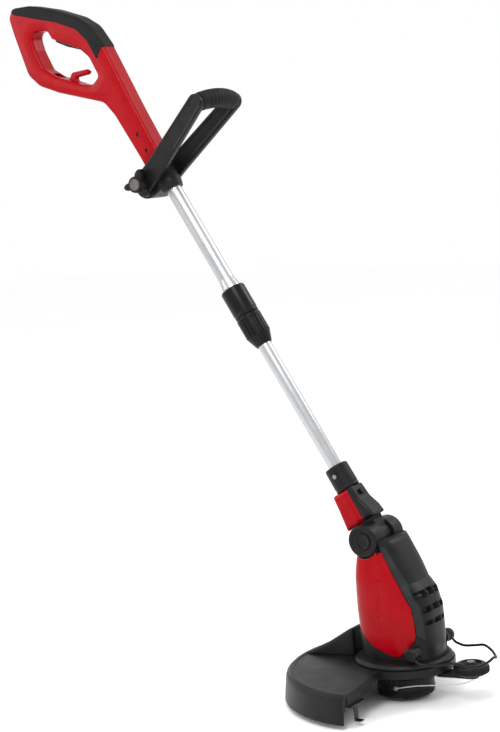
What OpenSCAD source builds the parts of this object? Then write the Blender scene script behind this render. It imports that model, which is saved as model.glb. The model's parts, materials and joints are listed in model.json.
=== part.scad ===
// String trimmer: D-handle, clamped loop handle, telescoping aluminium shaft,
// swivelling neck, tilting motor head with guard, guide wheel and two-line spool.
// Millimetres, +Z up, origin at the bottom of the tap button that it rests on.

/* [Stance] */
// Lean of the shaft from the spool's axis
shaft_lean = 31; // [20:1:40]
// Tilt axis, distance behind the spool's axis
pivot_back = 34; // [28:1:40]
// Tilt axis, height above the ground
pivot_z = 245; // [240:1:290]

/* [Shaft] */
// Lower tube, outer diameter
lower_tube_d = 22; // [18:0.5:22.3]
// Upper tube, outer diameter
upper_tube_d = 25; // [24.8:0.1:27]
// Upper tube, outer diameter of its flared end
flare_d = 31; // [29:0.5:33]
// Wall of both tubes
tube_wall = 1.2; // [1:0.1:1.2]
// Lower tube, length
lower_tube_len = 460; // [400:5:480]
// Upper tube, length
upper_tube_len = 385; // [380:5:460]
// Height of the upper tube's lower end along the shaft
upper_tube_s = 405; // [400:1:410]
// Telescopic sleeve and twist collar, outer diameter
sleeve_d = 40.6; // [39:0.2:46]
// Telescopic sleeve, length over the flare
sleeve_len = 42; // [36:1:46]
// Twist collar, length
collar_len = 53; // [45:1:60]
// Flutes around the twist collar
collar_flutes = 18; // [8:1:24]

/* [Rear handle] */
// Thickness of the D-handle across its two shells
handle_t = 34; // [32:1:40]
// Wall of the handle shells
handle_wall = 3; // [2.5:0.5:3.5]
// Trigger, width
trigger_w = 14; // [10:1:16]
// Trigger, travel at its tip
trigger_travel = 5; // [3:0.5:5]

/* [Loop handle] */
// Clamp bolt, diameter
bolt_d = 8; // [6:0.5:10]
// Clamp bolt, distance behind the shaft axis
bolt_back = 26; // [24:1:30]
// Clamp bolt, height along the shaft
bolt_s = 666; // [664:1:670]
// Loop handle arms, from bolt to grip
arm_len = 176; // [150:1:200]
// Loop handle arms, width
arm_w = 28; // [24:1:32]
// Loop handle arms, thickness
arm_t = 11; // [9:0.5:12]
// Distance between the middles of the arms at the grip
grip_span = 98; // [90:1:112]
// Grip of the loop handle, diameter
grip_d = 31; // [26:1:34]
// Lean of the arms from a line square to the shaft
arm_lean = 11; // [0:1:25]
// Clamp knob, radius over its lobes
knob_r = 25; // [20:1:28]

/* [Motor head] */
// Motor housing, length from rear to front
housing_l = 128; // [124:1:140]
// Motor housing, width
housing_w = 102; // [98:1:116]
// Wall of the housing shells
housing_wall = 3; // [2.5:0.5:3.5]
// Base flange, diameter
base_d = 150; // [146:1:156]
// Tilt hubs, diameter
hub_d = 50; // [48:1:56]
// Tilt hubs, distance over their outer faces
hub_span = 84; // [80:1:92]
// Motor can, diameter
can_d = 72; // [66:1:76]
// Motor shaft, diameter
motor_shaft_d = 8; // [6:0.5:9]

/* [Guard and spool] */
// Guard, outer radius at its top edge
guard_r = 180; // [170:1:200]
// Guard, wall thickness
guard_wall = 3; // [2.5:0.5:4]
// Guard, height of its skirt
skirt_h = 40; // [34:1:40]
// Spool head, outer diameter
spool_d = 89; // [84:1:92]
// Height of the spool head above the tap button's face
spool_z = 3; // [2:0.5:4]
// Tap button, diameter
tap_d = 34; // [28:1:40]
// Travel of the tap button
tap_travel = 4; // [3:0.5:4]
// Cutting line, diameter
line_d = 1.6; // [1.2:0.2:2]
// Guide wheel, diameter
wheel_d = 55; // [48:1:58]
// Guide wheel, distance in front of the spool's axis
wheel_x = 114; // [112:1:118]
// Wire of the flower guard, diameter
wire_d = 4; // [3:0.5:5]

/* [Hidden] */
$fn = 64;

red = "firebrick";
black = "#202124";
grey = "#7d8084";
alloy = "silver";
steel = "#9a9da1";
seat = 0.3;          // gap between parts of different bodies
fit = 0.05;          // radial gap of a pin that turns in its bore
bite = 0.01;         // overshoot that keeps cuts clean
pivot_x = -pivot_back;

// ---------- helpers ----------
function unit(v) = v / norm(v);
function polar(r, a) = [r * cos(a), r * sin(a)];

// Points of a round of radius r in the corner b between a and c.
function corner(a, b, c, r, n = 5) =
    let (u = unit(a - b), w = unit(c - b), half = acos(u * w) / 2,
         d = min(r / tan(half), 0.48 * norm(a - b), 0.48 * norm(c - b)),
         q = d * tan(half), m = b + unit(u + w) * q / sin(half),
         p0 = unit(b + u * d - m), p1 = unit(b + w * d - m), turn = 180 - 2 * half)
    [for (i = [0 : n]) m + q * (sin(turn * (1 - i / n)) * p0 + sin(turn * i / n) * p1) / sin(turn)];

// Outline with a round at every corner; each corner is [x, y, radius].
function rounded(c) = [for (i = [0 : len(c) - 1])
    each let (a = c[(i + len(c) - 1) % len(c)], b = c[i], d = c[(i + 1) % len(c)])
    corner([a[0], a[1]], [b[0], b[1]], [d[0], d[1]], b[2])];

// Swap [s, v] corners along the shaft to [v, s] outline corners.
function shaft_outline(c) = rounded([for (p = c) [p[1], p[0], p[2]]]);

// Superellipse of half sizes a and b.
function superellipse(a, b, n = 2.6, k = 64) = [for (i = [0 : k - 1])
    let (t = 360 * i / k)
    [a * sign(cos(t)) * pow(abs(cos(t)), 2 / n), b * sign(sin(t)) * pow(abs(sin(t)), 2 / n)]];

// Round tube of radius r swept through points p; up is never along the path.
function ring(p, i, r, k, up) =
    let (t = unit(p[min(i + 1, len(p) - 1)] - p[max(i - 1, 0)]), s = unit(cross(t, up)), w = cross(s, t))
    [for (j = [0 : k - 1]) p[i] + r * (cos(360 * j / k) * s + sin(360 * j / k) * w)];
module sweep(p, r, up = [0, 0, 1], k = 10) {
    n = len(p);
    polyhedron(
        points = [for (i = [0 : n - 1]) each ring(p, i, r, k, up)],
        faces = concat(
            [[for (j = [k - 1 : -1 : 0]) j]],
            [for (i = [0 : n - 2]) for (j = [0 : k - 1])
                [i * k + j, i * k + (j + 1) % k, (i + 1) * k + (j + 1) % k, (i + 1) * k + j]],
            [[for (j = [0 : k - 1]) (n - 1) * k + j]]));
}

// Points of a smooth curve through the route points (Catmull-Rom), m steps each.
function curve(p, m = 4) = concat([for (i = [0 : len(p) - 2]) for (j = [0 : m - 1])
    let (t = j / m, a = p[max(i - 1, 0)], b = p[i], c = p[i + 1], d = p[min(i + 2, len(p) - 1)])
    0.5 * (2 * b + (c - a) * t + (2 * a - 5 * b + 4 * c - d) * t * t + (3 * b - a - 3 * c + d) * t * t * t)],
    [p[len(p) - 1]]);

// Plate with its outline in the XZ plane, between y0 and y1.
module plate(pts, y0, y1) translate([0, y1, 0]) rotate([90, 0, 0]) linear_extrude(y1 - y0) polygon(pts);
// Cylinder along Y, between y0 and y1.
module rod_y(r, y0, y1) translate([0, y1, 0]) rotate([90, 0, 0]) cylinder(r = r, h = y1 - y0);
// Tube along Z, between z0 and z1.
module tube(r_out, r_in, z0, z1) translate([0, 0, z0]) difference() {
    cylinder(r = r_out, h = z1 - z0);
    translate([0, 0, -1]) cylinder(r = r_in, h = z1 - z0 + 2);
}
// The shaft's frame: Z runs up the shaft from the tilt axis, X points to its front.
module on_shaft() translate([pivot_x, 0, pivot_z]) rotate([0, -shaft_lean, 0]) children();
module at_pivot() translate([pivot_x, 0, pivot_z]) children();
module both_sides() { children(); mirror([0, 1, 0]) children(); }

// ---------- rear handle ----------
upper_tube_r = upper_tube_d / 2;
upper_tube_end = upper_tube_s + upper_tube_len;
handle_half = handle_t / 2;
neck_end = 692;              // lower end of the handle shells along the shaft
// Corners are [along the shaft, to the front of the shaft, radius].
handle_outer = [[neck_end, -16, 2], [792, -18, 20], [822, -24, 26], [889, -91, 40], [922, -118, 30],
    [950, -127, 30], [1020, -112, 60], [1050, -104, 14], [1057, -88, 14], [1038, -56, 40], [1003, -20, 80],
    [964, 13, 60], [936, 28, 40], [898, 31, 60], [790, 24, 30], [773, 23, 4], [neck_end, 20, 2]];
handle_inner = [[1004, -81, 12], [986, -53, 8], [980, -50, 1], [967, -50, 3], [920, -13, 12], [897, -5, 20],
    [861, -7, 7], [858, -27, 12], [874, -46, 12], [893, -62, 10], [914, -80, 8], [938, -93, 14], [974, -90, 20]];
hook = [[880, -59, 1], [897, -74, 1], [904, -55, 3], [890, -27, 2.5], [884, -24, 2.5], [881, -29, 2],
    [892, -53, 2]];
// Edge of the soft grip on the side of the handle, and its run round the top.
soft_edge = [[1043, -88, 5], [1034, -78, 6], [1006, -50, 10], [982, -25, 20], [948, 2, 20], [918, 10, 16],
    [882, 8, 2], [892, 24, 6], [893, 44, 2], [960, 60, 5], [1075, -60, 5], [1066, -100, 2]];
trigger_pin_at = [921, -7.5];
trigger_tip_at = [967, -47];
trigger_dir = unit(trigger_tip_at - trigger_pin_at);
trigger_len = norm(trigger_tip_at - trigger_pin_at);
trigger_angle = atan2(trigger_dir[1], trigger_dir[0]);
switch_at = [950, -17];
trigger_proud = 8.5;
trigger_back = 2;
switch_w = 16;
inlet_at = [910, -93];
inlet_turn = -30;            // way the inlet faces, from the shaft towards its front
inlet_w = 18;
inlet_d = 22;
inlet_pin_y = 4.8;           // half the distance between the two pins
inlet_pin_r = 1.8;
handle_screw_at = [[709.5, 3.5], [739.5, 4], [836, 20], [1036, -90], [968, -111], [868, -58]];
handle_screw_r = 2;
screw_seat = 4.4;            // depth of the screw heads' seats below the handle's sides
near_screws = 2;             // the first ones are driven from the near side, the others from the far side
module handle_screw_places() for (i = [0 : len(handle_screw_at) - 1]) on_handle(handle_screw_at[i])
    mirror([0, i < near_screws ? 0 : 1, 0]) children();

// Frame on the handle: origin at [s, v], X turned from the shaft by a.
module on_handle(at, a = 0) on_shaft() translate([at[1], 0, at[0]]) rotate([0, a, 0]) children();

module handle_solid(y0, y1, inset = 0) on_shaft() translate([0, y1, 0]) rotate([90, 0, 0])
    linear_extrude(y1 - y0) difference() {
        offset(delta = -inset) polygon(shaft_outline(handle_outer));
        offset(delta = inset) polygon(shaft_outline(handle_inner));
    }
module soft_band(half, inset) on_shaft() intersection() {
    plate(shaft_outline(soft_edge), -half, half);
    translate([0, half, 0]) rotate([90, 0, 0]) linear_extrude(2 * half)
        offset(delta = -inset) polygon(shaft_outline(handle_outer));
}
soft_wrap = 1;               // how far the soft grip stands proud of the shells' sides
soft_skin = 3;
module soft_grip_solid() difference() {
    soft_band(handle_half + soft_wrap, 0);
    soft_band(handle_half - soft_skin, soft_skin + 1);
}
module inlet_block(grow = 0) on_handle(inlet_at, inlet_turn)
    translate([-inlet_w / 2 - grow, -10 - grow, -inlet_d / 2 - grow])
    cube([inlet_w + 2 * grow, 20 + 2 * grow, inlet_d + 2 * grow]);
// Room for the trigger's swing: it stands out by trigger_proud and sinks in by its travel.
module trigger_room(grow) on_handle(trigger_pin_at, trigger_angle)
    translate([-trigger_proud - grow, -trigger_w / 2 - grow, -4 - grow])
    cube([trigger_proud + trigger_back + trigger_travel + 2 * grow, trigger_w + 2 * grow,
        trigger_len + 4 + 2 * grow]);
// Ribs of the shells that carry the switch between them.
module switch_ribs() on_handle(switch_at, trigger_angle) for (z = [-11, 6])
    translate([-6, -handle_half + 1, z]) cube([10, handle_t - 2, 2.5]);
module switch_block() translate([-6, -switch_w / 2, -14]) cube([11, switch_w, 26]);
module handle_shell(side) {
    y0 = side < 0 ? -handle_half : bite;
    y1 = side < 0 ? -bite : handle_half;
    difference() {
        union() {
            difference() {
                handle_solid(y0, y1);
                handle_solid(side < 0 ? -handle_half + handle_wall : -1,
                    side < 0 ? 1 : handle_half - handle_wall, handle_wall);
            }
            intersection() {
                union() {
                    for (p = handle_screw_at) on_handle(p) rod_y(5, -handle_half + 1, handle_half - 1);
                    switch_ribs();
                    on_shaft() translate([0, 0, neck_end]) cylinder(r = 15.5, h = 104);
                    on_shaft() plate(shaft_outline(hook), -5, 5);
                }
                handle_half_space(y0, y1);
                union() {
                    handle_solid(y0, y1, 0.5);
                    on_shaft() plate(shaft_outline(hook), -5, 5);
                }
            }
        }
        on_shaft() translate([0, 0, neck_end - 1])
            cylinder(r = upper_tube_r, h = upper_tube_end - neck_end + 1);
        on_shaft() translate([0, 0, upper_tube_end]) cylinder(r = 9, h = 20);
        handle_screw_places() {
            rod_y(handle_screw_r, -handle_half - 1, handle_half - 3);
            rod_y(3.6, -handle_half - 1, -handle_half + screw_seat);
        }
        soft_grip_solid();
        inlet_block(0.01);
        on_handle(inlet_at, inlet_turn) translate([0, -8, -9]) cube([30, 16, 18]);
        trigger_room(0.6);
        on_handle(switch_at, trigger_angle) switch_block();
        on_handle(trigger_pin_at) rod_y(2, -handle_half + 2, handle_half - 2);
    }
}
module handle_half_space(y0, y1) translate([-900, y0, 500]) cube([900, y1 - y0, 900]);
module handle_shell_left() color(red) handle_shell(-1);
module handle_shell_right() color(red) handle_shell(1);
module soft_grip() color(black) soft_grip_solid();
module trigger() color(black) difference() {
    union() {
        on_handle(trigger_pin_at, trigger_angle) {
            plate(rounded([[-7, 4, 3], [-trigger_proud, trigger_len * 0.55, 20], [-7, trigger_len - 6, 4],
                [-6, trigger_len, 2], [trigger_back, trigger_len, 1], [trigger_back, -3.5, 1], [-3, -3.5, 2]]),
                -trigger_w / 2, trigger_w / 2);
            rod_y(4, -trigger_w / 2, trigger_w / 2);
        }
    }
    on_handle(trigger_pin_at) rod_y(2 + fit, -trigger_w, trigger_w);
}
module trigger_pin() color(steel) on_handle(trigger_pin_at) rod_y(2, -handle_half + 2, handle_half - 2);
module switch_module() color("#3a3a3c") on_handle(switch_at, trigger_angle) {
    switch_block();
    translate([0, 0, -7]) rotate([0, 90, 0]) cylinder(r = 2.5, h = 7);
}
module mains_inlet() color("#2b2b2d") {
    difference() {
        inlet_block();
        on_handle(inlet_at, inlet_turn) translate([-inlet_w / 2 + 4, -8, -9]) cube([inlet_w, 16, 18]);
    }
    on_handle(inlet_at, inlet_turn) for (y = [-inlet_pin_y, inlet_pin_y]) translate([-inlet_w / 2 + 3, y, 0])
        rotate([0, 90, 0]) cylinder(r = inlet_pin_r, h = 12);
}
module handle_screws() color(steel) handle_screw_places() {
    rod_y(handle_screw_r, -handle_half + screw_seat - bite, handle_half - 3);
    rod_y(3.5, -handle_half + screw_seat - 2.5, -handle_half + screw_seat);
}

// ---------- shaft ----------
flare_top = upper_tube_s + sleeve_len + 18;
module upper_tube() color(alloy) difference() {
    on_shaft() rotate_extrude() polygon([[upper_tube_r, upper_tube_end], [upper_tube_r, flare_top],
        [flare_d / 2, flare_top - 18], [flare_d / 2, upper_tube_s], [flare_d / 2 - tube_wall, upper_tube_s],
        [flare_d / 2 - tube_wall, flare_top - 18], [upper_tube_r - tube_wall, flare_top],
        [upper_tube_r - tube_wall, upper_tube_end]]);
    for (i = [0, 1]) on_handle(handle_screw_at[i]) rod_y(handle_screw_r + 0.2, -20, 20);
}
sleeve_r = sleeve_d / 2;
lower_tube_r = lower_tube_d / 2;
collar_top = upper_tube_s - 8;
collar_bottom = collar_top - collar_len;
nose_bottom = collar_bottom + 14;
module telescope_sleeve() color(black) on_shaft() difference() {
    union() {
        tube(sleeve_r, flare_d / 2, upper_tube_s - 1.5, upper_tube_s + sleeve_len);
        tube(sleeve_r, lower_tube_r + 3.5, collar_top + 0.6, upper_tube_s - 1.5 + bite);
        tube(16.2, lower_tube_r + 3.5, nose_bottom + 8, collar_top + 1);
        for (z = [collar_top - 9, collar_top - 18]) tube(17.2, 16, z, z + 4);
    }
    for (z = [-1, 1]) translate([0, 0, upper_tube_s + sleeve_len - 4 + z * 0.01])
        tube(sleeve_r + 1, sleeve_r - 0.6, 0, 1);
}
// Split bush: guides the lower tube, and its fingers are what the twist collar squeezes.
module tube_bush() color("#d8d8d2") on_shaft() difference() {
    union() {
        tube(flare_d / 2 - tube_wall, lower_tube_r + seat, upper_tube_s, upper_tube_s + 36);
        tube(lower_tube_r + 3.4, lower_tube_r + seat, nose_bottom, upper_tube_s + bite);
    }
    for (a = [0 : 90 : 270]) rotate([0, 0, a]) translate([0, -1, nose_bottom - 1]) cube([20, 2, 30]);
}
// Outline with n flutes of the given depth cut into radius r.
function fluted(r, depth, n) = [for (i = [0 : 6 * n - 1]) polar(r - (i % 6 > 3 ? depth : 0), i * 60 / n)];
module twist_collar() color(black) on_shaft() difference() {
    union() {
        translate([0, 0, collar_bottom]) cylinder(r1 = lower_tube_r + 2.5, r2 = sleeve_r - 1, h = 18);
        translate([0, 0, collar_bottom + 18]) linear_extrude(collar_len - 18)
            polygon(fluted(sleeve_r, 1.4, collar_flutes));
    }
    translate([0, 0, collar_bottom - 1]) cylinder(r = lower_tube_r + seat + 0.7, h = 20);
    translate([0, 0, collar_bottom + 12]) cylinder(r = 15, h = 20);
    translate([0, 0, collar_bottom + 20]) cylinder(r = 17.5 + seat, h = collar_len);
}
lower_tube_s = 63;
lower_tube_end = lower_tube_s + lower_tube_len;
plug_len = 20;
lead_r = 3;
lead_over = 4;               // end of the lead past both ends of the lower tube
module lower_tube() color(alloy) on_shaft()
    tube(lower_tube_r, lower_tube_r - tube_wall, lower_tube_s, lower_tube_end);
module tube_end_plug() color("#d8d8d2") on_shaft() {
    tube(lower_tube_r - tube_wall, lead_r, lower_tube_end - plug_len, lower_tube_end);
    tube(lower_tube_r - 0.2, lead_r, lower_tube_end, lower_tube_end + 2);
}
module motor_lead() color("#1c1c1e") on_shaft() translate([0, 0, lower_tube_s - 2])
    cylinder(r = lead_r, h = lower_tube_len + lead_over);

// ---------- loop handle ----------
bolt_r = bolt_d / 2;
bolt_at = [bolt_s, -bolt_back];
bracket_half = 21;
arm_foot_y = bracket_half + 1 + arm_t / 2;
grip_mid_y = grip_span / 2;
grip_r = grip_d / 2;
// Axis of the bolt, with X along the arms towards the grip and Z to their upper side.
module on_arms() on_handle(bolt_at, -arm_lean) children();
module aux_bracket() color(black) difference() {
    union() {
        on_shaft() translate([0, 0, 636]) cylinder(r1 = 16.5, r2 = 19, h = 10);
        on_shaft() translate([0, 0, 646]) cylinder(r = 19, h = neck_end - 647);
        hull() {
            on_handle(bolt_at) rod_y(24, -bracket_half, bracket_half);
            on_shaft() translate([0, 0, bolt_s - 22]) cylinder(r = 17, h = neck_end - 2 - bolt_s + 22);
        }
    }
    on_shaft() translate([0, 0, 600]) cylinder(r = upper_tube_r, h = 200);
    on_handle(bolt_at) rod_y(bolt_r + fit, -60, 60);
}
arm_bend = 34;               // flat foot of each arm, before it flares outwards
module arm_round(x, y, r) translate([x, y, 0]) rod_y(r, -arm_t / 2, arm_t / 2);
module arm(side) {
    hull() {
        arm_round(0, side * arm_foot_y, 17);
        arm_round(arm_bend, side * arm_foot_y, arm_w / 2, $fn = 32);
    }
    hull() {
        arm_round(arm_bend, side * arm_foot_y, arm_w / 2, $fn = 32);
        arm_round(arm_len, side * grip_mid_y, arm_w / 2, $fn = 32);
    }
}
// Grip axis: an arc that rises crown above the arms' ends.
crown = 9;
crown_r = (pow(grip_mid_y, 2) + crown * crown) / (2 * crown);
crown_turn = 2 * asin(grip_mid_y / crown_r);
module grip_arc(r, turn) translate([arm_len + crown - crown_r, 0, 0])
    rotate([0, 0, -turn / 2]) rotate_extrude(angle = turn, start = 0) translate([crown_r, 0]) circle(r = r);
module aux_handle() color(black) difference() {
    on_arms() {
        arm(1);
        arm(-1);
        grip_arc(9, crown_turn);
    }
    on_arms() {
        rod_y(bolt_r + fit, -80, 80);
        translate([0, nut_y0 + 8, 0]) rod_y(8, 0, 20);
        translate([0, nut_y0, 0]) rotate([-90, 0, 0]) cylinder(r = 7.6, h = 30, $fn = 6);
    }
}
grip_turn = 2 * asin((grip_mid_y - arm_t / 2 - 5.2) / crown_r);
module aux_grip() color(black) on_arms() difference() {
    union() {
        grip_arc(grip_r - 1.2, grip_turn);
        for (i = [-5 : 5]) translate([arm_len + crown - crown_r, 0, 0]) rotate([0, 0, i * grip_turn / 13])
            rotate_extrude(angle = 2.2, start = -1.1) translate([crown_r, 0]) circle(r = grip_r);
    }
    grip_arc(9, crown_turn + 5);
}
nut_y0 = arm_foot_y + arm_t / 2 - 6;
knob_y = arm_foot_y + arm_t / 2 + 0.6;
knob_h = 19;
module clamp_bolt() color(steel) on_handle(bolt_at) rod_y(bolt_r, -knob_y - 8, nut_y0 + 5.9);
module clamp_nut() color(steel) on_arms() difference() {
    translate([0, nut_y0, 0]) rotate([-90, 0, 0]) cylinder(r = 7.5, h = 6, $fn = 6);
    rod_y(bolt_r + fit, nut_y0 - 1, nut_y0 + 7);
}
knob_turn = 80;
// Three rounded lobes around a hub of radius r0.
function lobed(r0, r1, n = 3, k = 72) = [for (i = [0 : k - 1]) let (a = i * 360 / k)
    polar(r0 + (r1 - r0) * pow(max(0, cos(n * a)), 1.5), a + knob_turn)];
module star_knob() color(black) on_handle(bolt_at) difference() {
    union() {
        rod_y(13, -knob_y - knob_h, -knob_y);
        plate(lobed(13.5, knob_r), -knob_y - knob_h + 3, -knob_y - 3);
    }
    rod_y(bolt_r, -knob_y - 8, 0);
    rod_y(9.2, -knob_y - knob_h - 1, -knob_y - knob_h + 4);
}
module knob_cap() color(grey) on_handle(bolt_at) translate([0, -knob_y - knob_h + 4, 0]) rotate([90, 0, 0])
    rotate_extrude() polygon([[0, 0], [9.2, 0], [9.2, 4], [7.5, 4.6], [6.5, 3.6], [0, 3]]);

// ---------- neck ----------
neck_collar_top = 123;
neck_collar_bottom = 84;
spigot_r = 14;
neck_half = 19.5;
neck_bottom = 27;
knuckle_half = 13.7;
knuckle_r = 20;
neck_split = 7;              // front edge of the red cover on the neck
neck_side = [[neck_collar_bottom - seat, -23, 3], [60, -26, 30], [neck_bottom, -31, 1],
    [neck_bottom, 27, 2], [41, 25, 14], [60, 18, 20], [neck_collar_bottom - seat, 16, 3]];
module neck_collar() color(black) on_shaft() difference() {
    union() {
        rotate_extrude() polygon([[0, neck_collar_bottom], [19.4, neck_collar_bottom],
            [18.9, neck_collar_top - 2], [17.4, neck_collar_top], [0, neck_collar_top]]);
        translate([0, 0, 63]) cylinder(r = spigot_r - 2, h = 30);
        translate([0, 0, 63]) cylinder(r = spigot_r, h = 6);
    }
    translate([0, 0, lower_tube_s]) cylinder(r = lower_tube_r, h = 80);
    translate([0, 0, 108]) rod_y(2.2, -30, 0);
    translate([0, 0, 108]) rod_y(3.8, -30, -16.5);
}
module collar_screw() color(steel) on_shaft() translate([0, 0, 108]) {
    rod_y(2.2, -16.6, -lower_tube_r);
    rod_y(3.6, -18.4, -16.5);
}
// Room that the spigot, the tilt hubs and the lead need inside the neck.
module neck_room() {
    translate([0, 0, 62.4]) cylinder(r = spigot_r + seat, h = 7.2);
    translate([0, 0, 65]) cylinder(r = spigot_r - 2 + seat, h = 30);
    translate([0, 0, 20]) cylinder(r = 7, h = 50);
    both_sides() rod_y(hub_d / 2 + 1, knuckle_half, 60);
}
module neck_body() color(black) on_shaft() difference() {
    union() {
        intersection() {
            plate(shaft_outline(neck_side), -neck_half, neck_half);
            translate([neck_split, -30, 0]) cube([60, 60, 100]);
        }
        intersection() {
            plate(shaft_outline(neck_side), -neck_half + 3.2, neck_half - 3.2);
            translate([-20, -30, 0]) cube([neck_split + 20.1, 60, 100]);
        }
        rod_y(knuckle_r, -knuckle_half, knuckle_half);
        plate(shaft_outline([[0, -17, 2], [neck_bottom + 1, -17, 1], [neck_bottom + 1, 21, 1], [0, 20, 2]]),
            -knuckle_half, knuckle_half);
    }
    neck_room();
    rod_y(pivot_pin_r + fit, -30, 30);
    latch_slot(0.3);
}
module neck_cover() color(red) on_shaft() difference() {
    intersection() {
        plate(shaft_outline(neck_side), -neck_half, neck_half);
        translate([-40, -30, 0]) cube([40 + neck_split, 60, 100]);
    }
    plate(shaft_outline(neck_side), -neck_half + 3.2, neck_half - 3.2);
    translate([-20, -neck_half + 3.2, 0]) cube([60, 2 * neck_half - 6.4, 100]);
    neck_room();
}
// Push button at the front of the neck that frees its turn on the collar.
latch_s = 72;
latch_travel = 2.5;
module latch_slot(grow) translate([12 - grow, -5 - grow, latch_s - 6 - grow])
    cube([20, 10 + 2 * grow, 8 + 2 * grow]);
module swivel_latch() color(black) on_shaft() intersection() {
    translate([spigot_r + latch_travel + 0.4, -5, latch_s - 6]) cube([4.5, 10, 8]);
    rod_along_front();
}
module rod_along_front() translate([0, 0, latch_s - 2]) rotate([0, 90, 0]) cylinder(r = 6.2, h = 40);

// ---------- tilt joint ----------
pivot_pin_r = 4;
hub_r = hub_d / 2;
hub_in = knuckle_half + 0.4;
button_r = 13.5;
button_depth = 6;
module pivot_pin() color(steel) at_pivot() rod_y(pivot_pin_r, -hub_span / 2 + 14, hub_span / 2 - 8);
module hub(side) at_pivot() mirror([0, side > 0 ? 0 : 1, 0]) {
    rotate([-90, 0, 0]) rotate_extrude() polygon(concat([[0, hub_in], [hub_r, hub_in]],
        [for (a = [0 : 15 : 90]) [hub_r - 4 + 4 * cos(a), hub_span / 2 - 4 + 4 * sin(a)]],
        [[0, hub_span / 2]]));
}
module pivot_cap_near() color(black) difference() {
    hub(-1);
    at_pivot() {
        rod_y(button_r + seat, -hub_span, -hub_span / 2 + button_depth + 5);
        rod_y(pivot_pin_r, -hub_span, 0);
    }
}
module pivot_cap_far() color(black) difference() {
    hub(1);
    at_pivot() rod_y(pivot_pin_r, 0, hub_span / 2 - 8);
}
module tilt_button() color(black) at_pivot() difference() {
    rod_y(button_r, -hub_span / 2 - 0.6, -hub_span / 2 + button_depth);
    translate([0, -hub_span / 2 - 0.6, 0]) sphere(r = 1.2);
}

// ---------- motor housing ----------
housing_front = housing_l / 2;
housing_rear = -housing_l / 2;
half_w = housing_w / 2;
flange_z = 58;
cover_z = 66;
top_z = pivot_z;
// Side outline, [x, z, radius].
housing_side = [[housing_rear + 4, flange_z, 1], [housing_rear + 2, 100, 40], [housing_rear, 136, 60],
    [housing_rear, 162, 60], [housing_rear + 4, top_z - 48, 60], [housing_rear + 10, top_z - 21, 12],
    [pivot_x, top_z - 8, 10], [4, top_z + 3, 6], [9, top_z - 5, 4], [36, top_z - 67, 40],
    [housing_front - 12, 166, 30], [housing_front - 4, 140, 30], [housing_front - 2, 98, 40], [housing_front, flange_z, 1]];
// Half outline seen from the front, [y, z, radius].
housing_face = [[half_w - 4, flange_z, 1], [half_w - 1, 100, 60], [half_w, 140, 60], [half_w - 2, 185, 60],
    [hub_span / 2 - 1, top_z - 20, 30], [hub_span / 2 - 2, top_z + 5, 2]];
front_x = 50;                // edge of the front shell beside the base
front_z = 149;               // height where that edge turns back to the top
top_x = 3;                   // edge of the front shell at the top
red_edge = [[-90, 130, 1], [-58, 112, 20], [-40, 91, 30], [-23, 82, 60], [10, 70, 8], [18, 71, 8], [42, 90, 10],
    [front_x + 1, 104, 10], [front_x, front_z, 30], [top_x, top_z - 1, 4], [-20, top_z + 20, 4],
    [-90, top_z + 20, 4]];
module mirrored_face() { polygon(rounded(concat(housing_face, [for (i = [len(housing_face) - 1 : -1 : 0])
    [-housing_face[i][0], housing_face[i][1], housing_face[i][2]]]))); }
module housing_solid(inset = 0) intersection() {
    translate([0, 200, 0]) rotate([90, 0, 0]) linear_extrude(400)
        offset(delta = -inset) polygon(rounded(housing_side));
    rotate([90, 0, 90]) translate([0, 0, -200]) linear_extrude(400) offset(delta = -inset) mirrored_face();
    linear_extrude(400) offset(delta = -inset) polygon(superellipse(housing_front + 0.5, half_w + 0.5));
}
module hub_room() at_pivot() {
    rod_y(hub_r + 0.2, -60, 60);
}
module housing_wall_solid() difference() {
    housing_solid();
    housing_solid(housing_wall);
    hub_room();
    translate([0, 0, flange_z - 10]) linear_extrude(10 + housing_wall) square(200, center = true);
}
module red_zone() plate(rounded(red_edge), -80, 80);
module front_zone() difference() {
    translate([-60, -80, cover_z]) cube([160, 160, 300]);
    red_zone();
    translate([-100, -80, 0]) cube([100 + front_x, 160, front_z]);
    translate([-100, -80, 0]) cube([100 + top_x, 160, top_z - 1]);
}
vent_rows = [170, 152, 134];
module vents() for (z = vent_rows) both_sides() {
    rotate([0, 0, 38]) translate([44, 0, z]) rotate([0, -14, 0]) cube([50, 20, 6], center = true);
    rotate([0, 0, 10]) translate([44, 6, z]) rotate([0, -14, 0]) cube([60, 7, 6], center = true);
}
module rear_cover() color(red) difference() {
    intersection() { housing_wall_solid(); red_zone(); }
    guard_boss_room();
}
module front_shell() color(black) difference() {
    intersection() { housing_wall_solid(); front_zone(); }
    vents();
    guard_boss_room();
}
base_r = base_d / 2;
module guard_boss_room() wire_pivot() {
    rod_y(boss_r - 0.9, -80, 80);
    translate([-boss_r + 0.9, -80, cover_z - wire_z - 2]) cube([2 * boss_r - 1.8, 160, wire_z - cover_z + 2]);
}
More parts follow.
